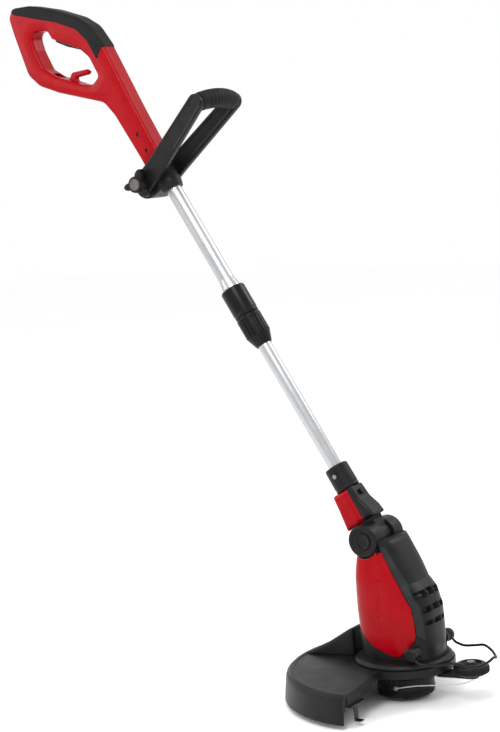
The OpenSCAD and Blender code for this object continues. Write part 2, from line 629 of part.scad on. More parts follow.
module base_plate() color(black) difference() {
    union() {
        rotate_extrude() polygon([[0, flange_z], [base_r, flange_z], [base_r, flange_z + 4],
            [base_r - 3, cover_z - 0.2], [0, cover_z - 0.2]]);
        difference() {
            intersection() {
                housing_wall_solid();
                translate([-100, -80, flange_z]) cube([100 + front_x - 0.1, 160, 60]);
            }
            red_zone();
        }
        for (a = [45 : 90 : 315]) rotate([0, 0, a]) translate([mount_r, 0, flange_z])
            cylinder(r = 5, h = can_z - flange_z);
        both_sides() wire_pivot() {
            rod_y(boss_r - 1, half_w - 10, half_w + 0.6);
            rod_y(4, half_w - 10, wire_y + 4);
            translate([-boss_r + 1, half_w - 10, cover_z - wire_z - 1])
                cube([2 * boss_r - 2, 8, wire_z - cover_z]);
        }
    }
    translate([0, 0, flange_z - 1]) cylinder(r = 12, h = 30);
    for (a = [45 : 90 : 315]) rotate([0, 0, a]) translate([mount_r, 0, flange_z - 1]) cylinder(r = 2, h = 60);
    for (p = guard_screw_at) translate([p[0], p[1], flange_z - 1]) cylinder(r = 1.8, h = 7);
}

// ---------- motor ----------
can_r = can_d / 2;
can_z = 92;
can_h = 66;
mount_r = can_r - 7;
shaft_r = motor_shaft_d / 2;
bearing_r = 11;
bearing_h = 7;
shaft_top = can_z + can_h + 30;
module motor_can() color(steel) difference() {
    translate([0, 0, can_z]) cylinder(r = can_r, h = can_h);
    translate([0, 0, can_z + 2]) cylinder(r = can_r - 2, h = can_h);
    translate([0, 0, can_z - 1]) cylinder(r = bearing_r, h = 10);
    for (a = [45 : 90 : 315]) rotate([0, 0, a]) translate([mount_r, 0, can_z - 1]) cylinder(r = 2, h = 10);
}
module motor_screws() color(steel) for (a = [45 : 90 : 315]) rotate([0, 0, a]) translate([mount_r, 0, 0]) {
    translate([0, 0, can_z - 14]) cylinder(r = 2, h = 16);
    translate([0, 0, can_z + 2]) cylinder(r = 3.5, h = 2.5);
}
module stator() color("#6d6a66") tube(can_r - 2, 24, can_z + 12, can_z + 50);
module armature() color("#b5713a") {
    tube(23.4, shaft_r, can_z + 14, can_z + 48);
    tube(18, shaft_r, can_z + 11, can_z + 14);
    tube(18, shaft_r, can_z + 48, can_z + 54);
    tube(11, shaft_r, can_z + 57, can_z + 69);
    tube(8, shaft_r, can_z + 54, can_z + 57);
}
shaft_bottom = 26;
module motor_shaft() color(steel) translate([0, 0, shaft_bottom])
    cylinder(r = shaft_r, h = shaft_top - shaft_bottom);
bearing_z = [can_z, can_z + can_h + 18];
module motor_bearings() color(steel) for (z = bearing_z) tube(bearing_r, shaft_r + fit, z, z + bearing_h);
module motor_end_cap() color("#2b2b2d") difference() {
    union() {
        tube(can_r, 20, can_z + can_h, can_z + can_h + 3);
        translate([-30, -14, can_z + can_h + 2]) cube([50, 28, 24]);
    }
    translate([0, 0, can_z + can_h - 1]) cylinder(r = 17, h = 18);
    translate([0, 0, bearing_z[1]]) cylinder(r = bearing_r, h = bearing_h);
    translate([0, 0, can_z]) cylinder(r = 8, h = 120);
    translate([-can_r, -4, can_z + 58.5]) cube([2 * can_r, 8, 9]);
}
module carbon_brushes() color("#1b1b1b") for (s = [-1, 1])
    translate([s * 19.15 - 8, -4, can_z + 58.5]) cube([16, 8, 9]);
fan_z = 79;
fan_r = 23.4;
module cooling_fan() color("#c9c9c4") {
    tube(9, shaft_r, fan_z, fan_z + 10);
    tube(fan_r, 8, fan_z, fan_z + 2);
    for (a = [0 : 30 : 330]) rotate([0, 0, a]) translate([8, -0.8, fan_z + 1]) cube([fan_r - 8.2, 1.6, 8]);
}

// ---------- guard, cutter, flower guard, guide wheel ----------
guard_top = flange_z - 0.05;
guard_disc_r = 78;
guard_from = 98;             // far edge of the fan, from the front
guard_to = 270;              // near edge of the fan, from the front
fan_rim_z = 48;
skirt_flare = 6;
module guard_fan() {
    w = guard_wall;
    rotate([0, 0, guard_from]) rotate_extrude(angle = guard_to - guard_from, start = 0, $fn = 128)
        polygon([[77, guard_top - 0.4], [77, guard_top - w - 1], [guard_r - w, fan_rim_z - w],
            [guard_r + skirt_flare - w, fan_rim_z - skirt_h], [guard_r + skirt_flare, fan_rim_z - skirt_h],
            [guard_r + 0.5, fan_rim_z - 1], [guard_r - 1, fan_rim_z]]);
}
// Stiffening wall under each end of the fan.
module guard_end(a) rotate([0, 0, a]) translate([0, guard_wall / 2, 0]) rotate([90, 0, 0])
    linear_extrude(guard_wall) polygon([[74, guard_top - 1.2], [74, guard_top - 10],
        [guard_r - 9, fan_rim_z - 14], [guard_r + skirt_flare - 1.6, fan_rim_z - skirt_h + 0.7],
        [guard_r - 1.5, fan_rim_z - 1.2]]);
rib_out = 22;
// Raised bridge from the rim of the guard up to the rear of the housing.
rib_side = [[-guard_r + 2, fan_rim_z + 1, 3], [-76, 104, 6], [-68, 104, 2], [-68, guard_top - 2, 2],
    [-guard_r + 2, fan_rim_z - 2, 1]];
rib_hollow = [[-guard_r + 22, guard_top - 4, 1], [-78, 104 - guard_wall, 3], [-60, 104 - guard_wall, 1],
    [-60, guard_top - 4, 1]];
module guard_rib() intersection() {
    difference() {
        plate(rounded(rib_side), -rib_out, rib_out);
        plate(rounded(rib_hollow), -rib_out + 2 * guard_wall, rib_out - 2 * guard_wall);
    }
    linear_extrude(200) difference() {
        polygon([[-guard_r - 5, -11], [-60, -rib_out], [-60, rib_out], [-guard_r - 5, 11]]);
        circle(r = base_r + 0.1);
    }
}
module guard() color(black) difference() {
    union() {
        rotate_extrude() polygon([[16, guard_top], [16, guard_top - guard_wall],
            [guard_disc_r - guard_wall, guard_top - guard_wall], [guard_disc_r - guard_wall, guard_top - 12],
            [guard_disc_r, guard_top - 12], [guard_disc_r, guard_top]]);
        guard_fan();
        guard_rib();
        guard_end(guard_from + 1.2);
        guard_end(guard_to - 1.2);
        translate([-14, -170, cutter_z]) cube([14, 38, 16.5]);
    }
    for (p = guard_screw_at) translate([p[0], p[1], 0]) cylinder(r = 2, h = 100);
    for (p = rivet_at) translate([p[0], p[1], 0]) cylinder(r = 2, h = 100);
}
guard_screw_at = [for (a = [60, 180, 300]) polar(55, a)];
module guard_screws() color(steel) for (p = guard_screw_at) translate([p[0], p[1], 0]) {
    translate([0, 0, guard_top - guard_wall - 2.5]) cylinder(r = 3.6, h = 2.5);
    translate([0, 0, guard_top - guard_wall - bite]) cylinder(r = 1.8, h = 8);
}
cutter_t = 1.5;
cutter_z = fan_rim_z - 16;
rivet_at = [[-7, -136], [-7, -162]];
module line_cutter() color("#3c3d40") difference() {
    union() {
        translate([-12, -168, cutter_z - cutter_t]) cube([16, 40, cutter_t]);
        translate([4 - cutter_t, -158, 9]) cube([cutter_t, 9, cutter_z - 9]);
        translate([4 - cutter_t, -158, 7.5]) cube([11, 9, cutter_t]);
    }
    for (p = rivet_at) translate([p[0], p[1], 0]) cylinder(r = 2, h = 60);
}
module cutter_rivets() color(steel) for (p = rivet_at) translate([p[0], p[1], cutter_z]) {
    translate([0, 0, -cutter_t]) cylinder(r = 2, h = 12);
    translate([0, 0, -cutter_t - 1.5]) cylinder(r = 3.4, h = 1.5);
}
wire_x = 46;
wire_z = 82;
wire_y = 60;
wire_r = wire_d / 2;
boss_r = 10;
module wire_pivot() translate([wire_x, 0, wire_z]) children();
// Half of the bow, from its pivot to its tip.
bow = [[wire_x + 7.3, wire_y, wire_z - 7.3], [57, 59.5, 71.5], [63, 58, 69.5], [76, 55.5, 68], [96, 53, 71],
    [112, 50, 73.5], [128, 42, 69], [142, 27, 65.5], [150, 12, 69], [152, 0, 72]];
bow_route = concat(bow, [for (i = [len(bow) - 2 : -1 : 0]) [bow[i][0], -bow[i][1], bow[i][2]]]);
module flower_guard() color(black) sweep(curve(bow_route, 3), wire_r, [0, 0.02, 1]);
module bow_hubs() color(black) both_sides() wire_pivot() difference() {
    rod_y(boss_r, half_w + 1, wire_y + 3.4);
    rod_y(4 + fit, 0, 100);
}
wheel_z0 = 44;
wheel_z1 = 61;
wheel_r = wheel_d / 2;
module wheel_arm() color(black) difference() {
    union() {
        hull() {
            translate([wheel_x, 0, 38]) cylinder(r = 11, h = 5.6);
            translate([70, -14, 38]) cube([2, 28, 5.6]);
        }
        translate([62, -14, 38]) cube([10, 28, guard_top - guard_wall - 38]);
        translate([wheel_x, 0, 36.5]) cylinder(r = 8, h = 3);
    }
    translate([wheel_x, 0, 30]) cylinder(r = 2.5, h = 40);
    tube(90, guard_disc_r - guard_wall, guard_top - 12.1, 80);
}
module guide_wheel() color(black) translate([wheel_x, 0, 0]) difference() {
    union() {
        rotate_extrude() polygon([[0, wheel_z0], [wheel_r - 6, wheel_z0], [wheel_r - 1.5, wheel_z0 + 3],
            [wheel_r - 1.5, wheel_z1 - 6], [wheel_r - 4, wheel_z1 - 2.5], [wheel_r - 9, wheel_z1], [0, wheel_z1]]);
        for (a = [0 : 12 : 348]) rotate([0, 0, a]) translate([wheel_r - 2.5, 0, wheel_z0 + 2.5])
            cylinder(r = 1.5, h = wheel_z1 - wheel_z0 - 7);
    }
    translate([0, 0, 0]) cylinder(r = 3.5 + fit, h = 80);
    translate([0, 0, wheel_z1 - 1]) cylinder(r = 7, h = 3);
}
module wheel_screw() color(steel) translate([wheel_x, 0, 0]) {
    translate([0, 0, 37]) cylinder(r = 2.5, h = 7);
    translate([0, 0, 43.6]) cylinder(r = 3.5, h = wheel_z1 - 43.6 - 0.4);
    translate([0, 0, wheel_z1 - 0.4]) cylinder(r = 6, h = 2.4);
}

// ---------- spool head ----------
spool_r = spool_d / 2;
split_z = 14;                // joint between the spool housing and its cap
reel_top = 31;
ceiling_z = reel_top + tap_travel + 2;
eyelet_z = 23;
eyelet_r = 3;
eyelet_turn = -80;
module spool_housing() color(black) difference() {
    union() {
        rotate_extrude() polygon([[0, split_z], [spool_r, split_z], [spool_r, 34], [spool_r - 3, 40],
            [spool_r - 10, 42.5], [12, 42.5], [12, 52], [0, 52]]);
        for (a = [0 : 10 : 350]) rotate([0, 0, a]) translate([spool_r - 0.6, 0, 28]) cylinder(r = 1, h = 8);
    }
    translate([0, 0, split_z - 1]) cylinder(r = spool_r - 3, h = ceiling_z - split_z + 1);
    translate([0, 0, 0]) cylinder(r = shaft_r, h = 60);
    for (a = [0, 180]) rotate([0, 0, eyelet_turn + a]) translate([spool_r - 8, 0, eyelet_z]) rotate([0, 90, 0])
        cylinder(r = eyelet_r + 0.1, h = 12);
}
module spool_cap() color(black) difference() {
    union() {
        rotate_extrude() polygon([[tap_d / 2 + 0.8, spool_z], [spool_r - 5, spool_z], [spool_r, spool_z + 4],
            [spool_r, split_z], [tap_d / 2 + 0.8, split_z]]);
        tube(spool_r - 3, spool_r - 5.5, split_z - 1, split_z + 4);
    }
    translate([0, 0, spool_z + 2.5]) cylinder(r = spool_r - 5.5, h = 20);
}
spool_in = 11;
module line_spool() color("#2b2b2d") {
    tube(spool_r - 8, spool_in, 9.5, 11.5);
    tube(spool_in + 3, spool_in, 9.5, reel_top);
    tube(spool_r - 8, spool_in, reel_top - 2, reel_top);
}
module line_winding() color("white") tube(spool_r - 12, spool_in + 3, 11.6, reel_top - 2.1);
module spool_spring() color(steel) tube(9.5, 7.5, 13, ceiling_z);
module tap_button() color(black)
    rotate_extrude() polygon([[0, 0], [tap_d / 2 - 3, 0], [tap_d / 2, 3], [tap_d / 2, 9.5], [spool_in - 0.1, 9.5],
        [spool_in - 0.1, 13], [0, 13]]);
module eyelets() color(alloy) for (a = [0, 180]) rotate([0, 0, eyelet_turn + a]) translate([0, 0, eyelet_z])
    rotate([0, 90, 0]) rotate_extrude() polygon([[1.5, spool_r - 4], [eyelet_r, spool_r - 4],
        [eyelet_r, spool_r + 0.1], [4, spool_r + 0.1], [4, spool_r + 1], [3.2, spool_r + 1.6], [1.5, spool_r + 1.6]]);
line_a = [[7.2, -41, 23], [8.2, -46.5, 23.2], [12, -50.5, 25], [25, -51, 28], [43, -43, 30], [66, -26, 28.5],
    [96, -4, 27], [104, 23, 26]];
line_b = [[-7.2, 41, 23], [-8.2, 47, 22.8], [-7, 54, 20.5], [2, 59, 17.5], [14, 57, 15.5], [28, 51, 15],
    [52, 45, 18], [85, 42, 22]];
module cutting_lines() color("white") {
    sweep(curve(line_a, 3), line_d / 2, [0.05, 0.02, 1], 8);
    sweep(curve(line_b, 3), line_d / 2, [0.05, 0.02, 1], 8);
}

handle_shell_left();
handle_shell_right();
soft_grip();
trigger();
trigger_pin();
switch_module();
mains_inlet();
handle_screws();
upper_tube();
aux_bracket();
aux_handle();
aux_grip();
clamp_bolt();
star_knob();
knob_cap();
clamp_nut();
telescope_sleeve();
tube_bush();
twist_collar();
lower_tube();
tube_end_plug();
motor_lead();
neck_collar();
collar_screw();
neck_body();
neck_cover();
swivel_latch();
pivot_pin();
pivot_cap_near();
pivot_cap_far();
tilt_button();
rear_cover();
front_shell();
base_plate();
motor_can();
stator();
armature();
motor_shaft();
motor_bearings();
motor_end_cap();
carbon_brushes();
cooling_fan();
motor_screws();
guard();
guard_screws();
line_cutter();
cutter_rivets();
flower_guard();
bow_hubs();
wheel_arm();
guide_wheel();
wheel_screw();
spool_housing();
spool_cap();
line_spool();
line_winding();
spool_spring();
tap_button();
eyelets();
cutting_lines();
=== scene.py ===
import json
import math

import bmesh
import bpy
import numpy as np
from mathutils import Matrix, Vector
from mathutils.geometry import delaunay_2d_cdt


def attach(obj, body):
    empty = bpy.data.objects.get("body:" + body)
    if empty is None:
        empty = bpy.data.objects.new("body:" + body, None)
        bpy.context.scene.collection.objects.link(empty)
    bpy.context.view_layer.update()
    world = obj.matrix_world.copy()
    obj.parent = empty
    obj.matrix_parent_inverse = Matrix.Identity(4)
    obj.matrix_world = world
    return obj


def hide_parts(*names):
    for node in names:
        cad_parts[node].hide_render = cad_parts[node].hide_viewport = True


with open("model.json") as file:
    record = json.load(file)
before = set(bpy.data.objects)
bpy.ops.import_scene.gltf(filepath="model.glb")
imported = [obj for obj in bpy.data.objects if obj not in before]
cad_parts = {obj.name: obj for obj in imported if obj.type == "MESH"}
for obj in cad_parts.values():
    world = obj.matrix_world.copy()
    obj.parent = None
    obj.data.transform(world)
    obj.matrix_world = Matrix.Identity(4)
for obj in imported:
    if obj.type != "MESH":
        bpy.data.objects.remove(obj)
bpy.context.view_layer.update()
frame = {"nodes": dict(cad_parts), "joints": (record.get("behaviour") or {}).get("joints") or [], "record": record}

mm = 0.001  # pieces are worked out in millimetres and written in metres
joints = {joint["name"]: joint for joint in frame["joints"]}
pivot = np.array(joints["head_tilt"]["pos_m"]) / mm  # middle of the tilt joint
shaftUp = np.array(joints["shaft_slide"]["axis"])
shaftFront = np.array((shaftUp[2], 0, -shaftUp[0]))
sideways = np.array((0.0, 1.0, 0.0))
boltMiddle = np.array(joints["clamp_knob_turn"]["pos_m"]) / mm


view = {"place": (1.3381, -2.2534, 0.8386), "lens": 86.69, "sensor": 36,
        "right": (0.8216, 0.5643, -0.0808), "up": (-0.002, 0.1446, 0.9895), "back": (0.57, -0.8128, 0.12)}


def setCamera():
    data = bpy.data.cameras.new("camera")
    data.lens = view["lens"]
    data.sensor_width = view["sensor"]
    camera = bpy.data.objects.new("camera", data)
    axes = Matrix((view["right"], view["up"], view["back"])).transposed()
    camera.matrix_world = Matrix.Translation(view["place"]) @ axes.to_4x4()
    bpy.context.scene.collection.objects.link(camera)
    bpy.context.scene.camera = camera


def addLamp(name, place, aim, size, power):
    data = bpy.data.lights.new(name, "AREA")
    data.shape = "DISK"
    data.size = size
    data.energy = power
    lamp = bpy.data.objects.new(name, data)
    lamp.location = place
    lamp.rotation_euler = (Vector(aim) - Vector(place)).to_track_quat("-Z", "Y").to_euler()
    bpy.context.scene.collection.objects.link(lamp)


def linear(code):
    # An sRGB hex colour as linear light: each channel to the power 2.4 after its toe.
    parts = [int(code[i:i + 2], 16) / 255 for i in (1, 3, 5)]
    return [c / 12.92 if c <= 0.04045 else ((c + 0.055) / 1.055) ** 2.4 for c in parts] + [1.0]


def addNode(tree, kind, settings=None, inputs=None):
    # One node: its settings by name, and for each input a socket to link or a value to set.
    node = tree.nodes.new(kind)
    for name, value in (settings or {}).items():
        setattr(node, name, value)
    for name, value in (inputs or {}).items():
        if isinstance(value, bpy.types.NodeSocket):
            tree.links.new(value, node.inputs[name])
        else:
            node.inputs[name].default_value = value
    return node


def startMaterial(name, **shader):
    # A material with a principled shader, the object's coordinates, and the shader's own constants.
    material = bpy.data.materials.new(name)
    material.use_nodes = True
    tree = material.node_tree
    tree.nodes.clear()
    surface = addNode(tree, "ShaderNodeBsdfPrincipled", inputs=shader)
    addNode(tree, "ShaderNodeOutputMaterial", inputs={"Surface": surface.outputs["BSDF"]})
    where = addNode(tree, "ShaderNodeTexCoord").outputs["Object"]
    return material, tree, surface, where


def noise(tree, where, size, detail=3.0, roughness=0.55):
    # Noise whose lumps are about size millimetres wide.
    inputs = {"Vector": where, "Scale": 1 / (size * mm), "Detail": detail, "Roughness": roughness}
    return addNode(tree, "ShaderNodeTexNoise", inputs=inputs).outputs["Fac"]


def spread(tree, value, low, high, out):
    # Value carried from the range low to high onto the range out.
    inputs = {"Value": value, "From Min": low, "From Max": high, "To Min": out[0], "To Max": out[1]}
    return addNode(tree, "ShaderNodeMapRange", inputs=inputs).outputs["Result"]


def blendColours(tree, factor, first, second):
    inputs = {0: factor, 6: linear(first), 7: linear(second)}
    return addNode(tree, "ShaderNodeMix", {"data_type": "RGBA"}, inputs).outputs[2]


def addBump(tree, surface, height, depth, strength=1.0):
    # Bump of the given depth in millimetres, from a height between 0 and 1.
    inputs = {"Height": height, "Distance": depth * mm, "Strength": strength}
    bump = addNode(tree, "ShaderNodeBump", inputs=inputs)
    tree.links.new(bump.outputs["Normal"], surface.inputs["Normal"])


def mouldedPlastic(name, slot, low, high, gloss, grain, depth, smear=22.0, **shader):
    # Injection-moulded plastic: a spark-eroded grain, and a slow drift in colour and gloss.
    material, tree, surface, where = startMaterial(name, **{"IOR": 1.5, **shader})
    patches = noise(tree, where, smear, 4)
    fine = noise(tree, where, grain, 2)
    colour = blendColours(tree, spread(tree, patches, 0.35, 0.7, (0, 1)), low, high)
    tree.links.new(colour, surface.inputs["Base Color"])
    shine = addNode(tree, "ShaderNodeMath", {"operation": "ADD"},
                    {0: spread(tree, patches, 0.3, 0.7, gloss),
                     1: spread(tree, fine, 0.3, 0.7, (-0.03, 0.03))})
    tree.links.new(shine.outputs[0], surface.inputs["Roughness"])
    addBump(tree, surface, fine, depth)
    material["slot"] = slot
    return material


def softRubber(name, slot):
    # Thermoplastic elastomer overmould: matt, with a fine pebble grain that drinks light.
    material, tree, surface, where = startMaterial(name, **{"IOR": 1.48, "Specular IOR Level": 0.16})
    pebbles = addNode(tree, "ShaderNodeTexVoronoi", inputs={"Vector": where, "Scale": 1 / (0.9 * mm)})
    patches = noise(tree, where, 15, 4)
    colour = blendColours(tree, patches, "#0e0e0f", "#171718")
    tree.links.new(colour, surface.inputs["Base Color"])
    tree.links.new(spread(tree, patches, 0.3, 0.7, (0.52, 0.68)), surface.inputs["Roughness"])
    addBump(tree, surface, pebbles.outputs["Distance"], 0.06)
    material["slot"] = slot
    return material


def satinMetal(name, slot, low, high, gloss, line, along, depth=0.015):
    # Drawn or brushed metal: hair lines stretched along the way it was worked.
    material, tree, surface, where = startMaterial(name, **{"Metallic": 1.0})
    turn = Vector((0, 0, 1)).rotation_difference(Vector(along)).inverted().to_euler()
    aligned = addNode(tree, "ShaderNodeMapping", inputs={"Vector": where, "Rotation": turn}).outputs[0]
    stretched = addNode(tree, "ShaderNodeMapping",
                        inputs={"Vector": aligned, "Scale": (1, 1, 0.02)}).outputs[0]
    hairs = noise(tree, stretched, line, 3)
    stains = noise(tree, where, 35, 4)
    tree.links.new(blendColours(tree, hairs, low, high), surface.inputs["Base Color"])
    shine = addNode(tree, "ShaderNodeMath", {"operation": "ADD"},
                    {0: spread(tree, hairs, 0.3, 0.7, gloss),
                     1: spread(tree, stains, 0.3, 0.7, (-0.04, 0.05))})
    tree.links.new(shine.outputs[0], surface.inputs["Roughness"])
    addBump(tree, surface, hairs, depth)
    material["slot"] = slot
    return material


def nylonFilament(name, slot, clear):
    # Extruded nylon: milky, a little light passes, faint draw lines.
    shader = {"IOR": 1.53, "Transmission Weight": clear, "Subsurface Weight": 0.3,
              "Subsurface Scale": 0.002}
    material, tree, surface, where = startMaterial(name, **shader)
    clouds = noise(tree, where, 3, 3)
    tree.links.new(blendColours(tree, clouds, "#c9ccce", "#eceeef"), surface.inputs["Base Color"])
    tree.links.new(spread(tree, clouds, 0.3, 0.7, (0.25, 0.42)), surface.inputs["Roughness"])
    addBump(tree, surface, noise(tree, where, 0.4, 2), 0.02)
    material["slot"] = slot
    return material


redAbs = mouldedPlastic("redAbs", "red_abs", "#8f000a", "#98020e", (0.26, 0.32), 0.7, 0.01,
                        **{"Specular IOR Level": 0.11})
blackPolypropylene = mouldedPlastic("blackPolypropylene", "black_pp", "#0f0f10", "#181819", (0.36, 0.46),
                                    0.6, 0.025,
                                    **{"Specular IOR Level": 0.17})
blackNylon = mouldedPlastic("blackNylon", "black_gloss", "#0a0a0b", "#101012", (0.22, 0.3), 0.8, 0.01,
                            **{"Specular IOR Level": 0.17})
greyPolypropylene = mouldedPlastic("greyPolypropylene", "grey_cap", "#57534f", "#6b6566", (0.4, 0.5), 0.6,
                                   0.03,
                                   **{"Specular IOR Level": 0.2})
# A lighter grey copy of the black plastic, used as a painted highlight laid on the chamfer beside the split.
paintedHighlightStrip = mouldedPlastic("greyTrimPolypropylene", "black_pp", "#1e1f20", "#262729", (0.42, 0.52), 0.6,
                          0.03,
                          **{"Specular IOR Level": 0.2})
naturalNylon = mouldedPlastic("naturalNylon", "natural_nylon", "#d6d4c8", "#e4e2d8", (0.35, 0.45), 0.8,
                              0.015)
pressedCarbon = mouldedPlastic("pressedCarbon", "carbon", "#101011", "#1e1e20", (0.45, 0.6), 0.3, 0.03, 4)
powderWire = mouldedPlastic("powderCoatedWire", "black_wire", "#0d0d0e", "#151516", (0.33, 0.45), 0.5,
                            0.03, 9,
                            **{"Specular IOR Level": 0.2})
softGripRubber = softRubber("softGripRubber", "soft_rubber")
anodisedTube = satinMetal("anodisedTube", "aluminium_tube", "#a9abad", "#c6c8ca", (0.24, 0.34), 0.35,
                          shaftUp)
zincSteel = satinMetal("zincPlatedSteel", "steel_parts", "#6f7275", "#94979a", (0.28, 0.42), 0.4, (0, 1, 0))
blackenedSteel = satinMetal("blackenedSteel", "cutter_steel", "#2d2e30", "#45474a", (0.38, 0.5), 0.5,
                            (0, 1, 0))
siliconSteel = satinMetal("siliconSteelStack", "lamination", "#4a4947", "#6d6a66", (0.4, 0.5), 0.5,
                          (1, 0, 0))
enamelledCopper = satinMetal("enamelledCopper", "copper", "#8a4a22", "#c4763c", (0.25, 0.38), 0.6,
                             (1, 0, 0))
nylonLine = nylonFilament("nylonLine", "nylon_line", 0.25)


def gridFaces(rows, columns, wrapRows=False, wrapColumns=False):
    # Quads over a grid of rows by columns, joined round where it wraps.
    i, j = np.meshgrid(np.arange(rows if wrapRows else rows - 1),
                       np.arange(columns if wrapColumns else columns - 1), indexing="ij")
    k, l = (i + 1) % rows, (j + 1) % columns
    quads = np.stack((i * columns + j, i * columns + l, k * columns + l, k * columns + j), -1)
    return quads.reshape(-1, 4)


def addPiece(name, points, faces, body, material, replaced=(), sharp=38, even=False):
    # A mesh in metres at the origin from points in millimetres: doubles merged, faces turned
    # outwards. even weighs each face by its area in the shading, which suits surfaces with thin
    # triangles at their rims.
    mesh = bpy.data.meshes.new(name)
    mesh.from_pydata((np.asarray(points, float) * mm).tolist(), [], [list(map(int, f)) for f in faces])
    shape = bmesh.new()
    shape.from_mesh(mesh)
    bmesh.ops.remove_doubles(shape, verts=shape.verts, dist=0.004 * mm)
    bmesh.ops.dissolve_degenerate(shape, edges=shape.edges, dist=0.002 * mm)
    bmesh.ops.recalc_face_normals(shape, faces=shape.faces)
    shape.to_mesh(mesh)
    shape.free()
    mesh.materials.append(material)
    mesh.shade_smooth()
    mesh.set_sharp_from_angle(angle=math.radians(sharp))
    piece = bpy.data.objects.new(name, mesh)
    bpy.context.scene.collection.objects.link(piece)
    if even:
        weigh = piece.modifiers.new("evenShading", "WEIGHTED_NORMAL")
        weigh.mode = "FACE_AREA"
        weigh.weight = 100
        weigh.keep_sharp = True
    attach(piece, body)
    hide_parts(*replaced)
    return piece


def joinParts(parts):
    # Several (points, faces) as one.
    points, faces, count = [], [], 0
    for somePoints, someFaces in parts:
        points.append(np.asarray(somePoints, float).reshape(-1, 3))
        faces += [[int(v) + count for v in face] for face in someFaces]
        count += len(points[-1])
    return np.concatenate(points), faces


def roundCorners(corners, steps=5, closed=True):
    # Outline with an arc of radius r at each corner (x, y, r): the arc touches both of its sides.
    corners = np.asarray(corners, float)
    out = []
    for i, (x, y, r) in enumerate(corners):
        here = np.array((x, y))
        if not closed and i in (0, len(corners) - 1) or r <= 0:
            out.append(here[None])
            continue
        before, after = corners[i - 1, :2], corners[(i + 1) % len(corners), :2]
        u = (before - here) / np.linalg.norm(before - here)
        w = (after - here) / np.linalg.norm(after - here)
        half = math.acos(max(-1, min(1, u @ w))) / 2
        reach = min(r / math.tan(half), 0.48 * np.linalg.norm(before - here),
                    0.48 * np.linalg.norm(after - here))
        radius = reach * math.tan(half)
        middle = here + (u + w) / np.linalg.norm(u + w) * radius / math.sin(half)
        a, b = here + u * reach - middle, here + w * reach - middle
        turn = math.pi - 2 * half
        t = np.linspace(0, 1, steps + 1)[:, None]
        out.append(middle + (np.sin(turn * (1 - t)) * a + np.sin(turn * t) * b) / math.sin(turn))
    return np.concatenate(out)


def resample(line, spacing, closed=True):
    # Points at even spacing along a line, through straight pieces.
    line = np.asarray(line, float)
    if closed:
        line = np.vstack((line, line[:1]))
    length = np.concatenate(((0,), np.cumsum(np.linalg.norm(np.diff(line, axis=0), axis=1))))
    count = max(3, int(round(length[-1] / spacing)))
    at = np.linspace(0, length[-1], count + 1)[: count if closed else count + 1]
    return np.stack([np.interp(at, length, line[:, k]) for k in range(line.shape[1])], -1)


def smoothCurve(points, steps=8):
    # Catmull-Rom curve through the points, with the given number of steps between two.
    p = np.asarray(points, float)
    padded = np.vstack((2 * p[0] - p[1], p, 2 * p[-1] - p[-2]))
    t = np.linspace(0, 1, steps, endpoint=False)[None, :, None]
    a, b, c, d = (padded[k:len(p) - 1 + k, None] for k in range(4))
    curve = 0.5 * (2 * b + (c - a) * t + (2 * a - 5 * b + 4 * c - d) * t ** 2
                   + (3 * b - a - 3 * c + d) * t ** 3)
    return np.vstack((curve.reshape(-1, p.shape[1]), p[-1:]))


def smoothStep(value, low, high):
    t = np.clip((value - low) / (high - low), 0, 1)
    return t * t * (3 - 2 * t)


def revolve(profile, turns=96, closed=True, start=0.0, angle=360.0, change=None):
    # Profile of (radius, height) turned about Z. change gives each point's radius from its radius,
    # height and angle.
    profile = np.asarray(profile, float)
    whole = angle >= 360
    theta = np.radians(start + angle * np.arange(turns if whole else turns + 1) / turns)
    r, a = np.meshgrid(profile[:, 0], theta, indexing="ij")
    z = np.repeat(profile[:, 1:2], len(theta), 1)
    if change:
        r = change(r, z, a)
    points = np.stack((r * np.cos(a), r * np.sin(a), z), -1)
    faces = [list(f) for f in gridFaces(len(profile), len(theta), closed, whole)]
    if not whole:
        size = len(theta)
        faces += [[k * size for k in range(len(profile))],
                  [k * size + size - 1 for k in range(len(profile))]]
    return points.reshape(-1, 3), faces


def sweep(path, section, up=(0, 0, 1)):
    # Section carried square to a path: an array of (side, top) points for all of it or for each
    # ring.
    path = np.asarray(path, float)
    along = np.gradient(path, axis=0)
    along /= np.linalg.norm(along, axis=1)[:, None]
    side = np.cross(along, np.asarray(up, float))
    side /= np.linalg.norm(side, axis=1)[:, None]
    top = np.cross(side, along)
    section = np.asarray(section, float)
    if section.ndim == 2:
        section = np.repeat(section[None], len(path), 0)
    points = path[:, None] + section[..., :1] * side[:, None] + section[..., 1:] * top[:, None]
    rows, columns = points.shape[:2]
    faces = [list(f) for f in gridFaces(rows, columns, False, True)]
    faces += [list(range(columns)), [(rows - 1) * columns + k for k in range(columns)]]
    return points.reshape(-1, 3), faces


def circle(radius, count=16, squash=1.0):
    t = np.linspace(0, 2 * np.pi, count, endpoint=False)
    return np.stack((radius * np.cos(t), radius * squash * np.sin(t)), -1)


def edgeDistance(points, loops):
    # Distance from each point to the nearest side of any loop.
    best = np.full(len(points), 1e9)
    for loop in loops:
        a, b = loop, np.roll(loop, -1, 0)
        d = b - a
        t = np.clip(((points[:, None] - a) * d).sum(-1) / np.maximum((d * d).sum(-1), 1e-12), 0, 1)
        best = np.minimum(best, np.linalg.norm(points[:, None] - (a + t[..., None] * d), axis=-1).min(1))
    return best


def isInside(points, loop):
    # Even-odd rule: a point is inside if a line to its right crosses the loop an odd number of
    # times.
    a, b = loop, np.roll(loop, -1, 0)
    x, y = points[:, :1], points[:, 1:2]
    rise = np.where(np.abs(b[:, 1] - a[:, 1]) < 1e-12, 1e-12, b[:, 1] - a[:, 1])
    crosses = (a[:, 1] > y) != (b[:, 1] > y)
    return ((crosses & (x < (b[:, 0] - a[:, 0]) * (y - a[:, 1]) / rise + a[:, 0])).sum(1) % 2) == 1


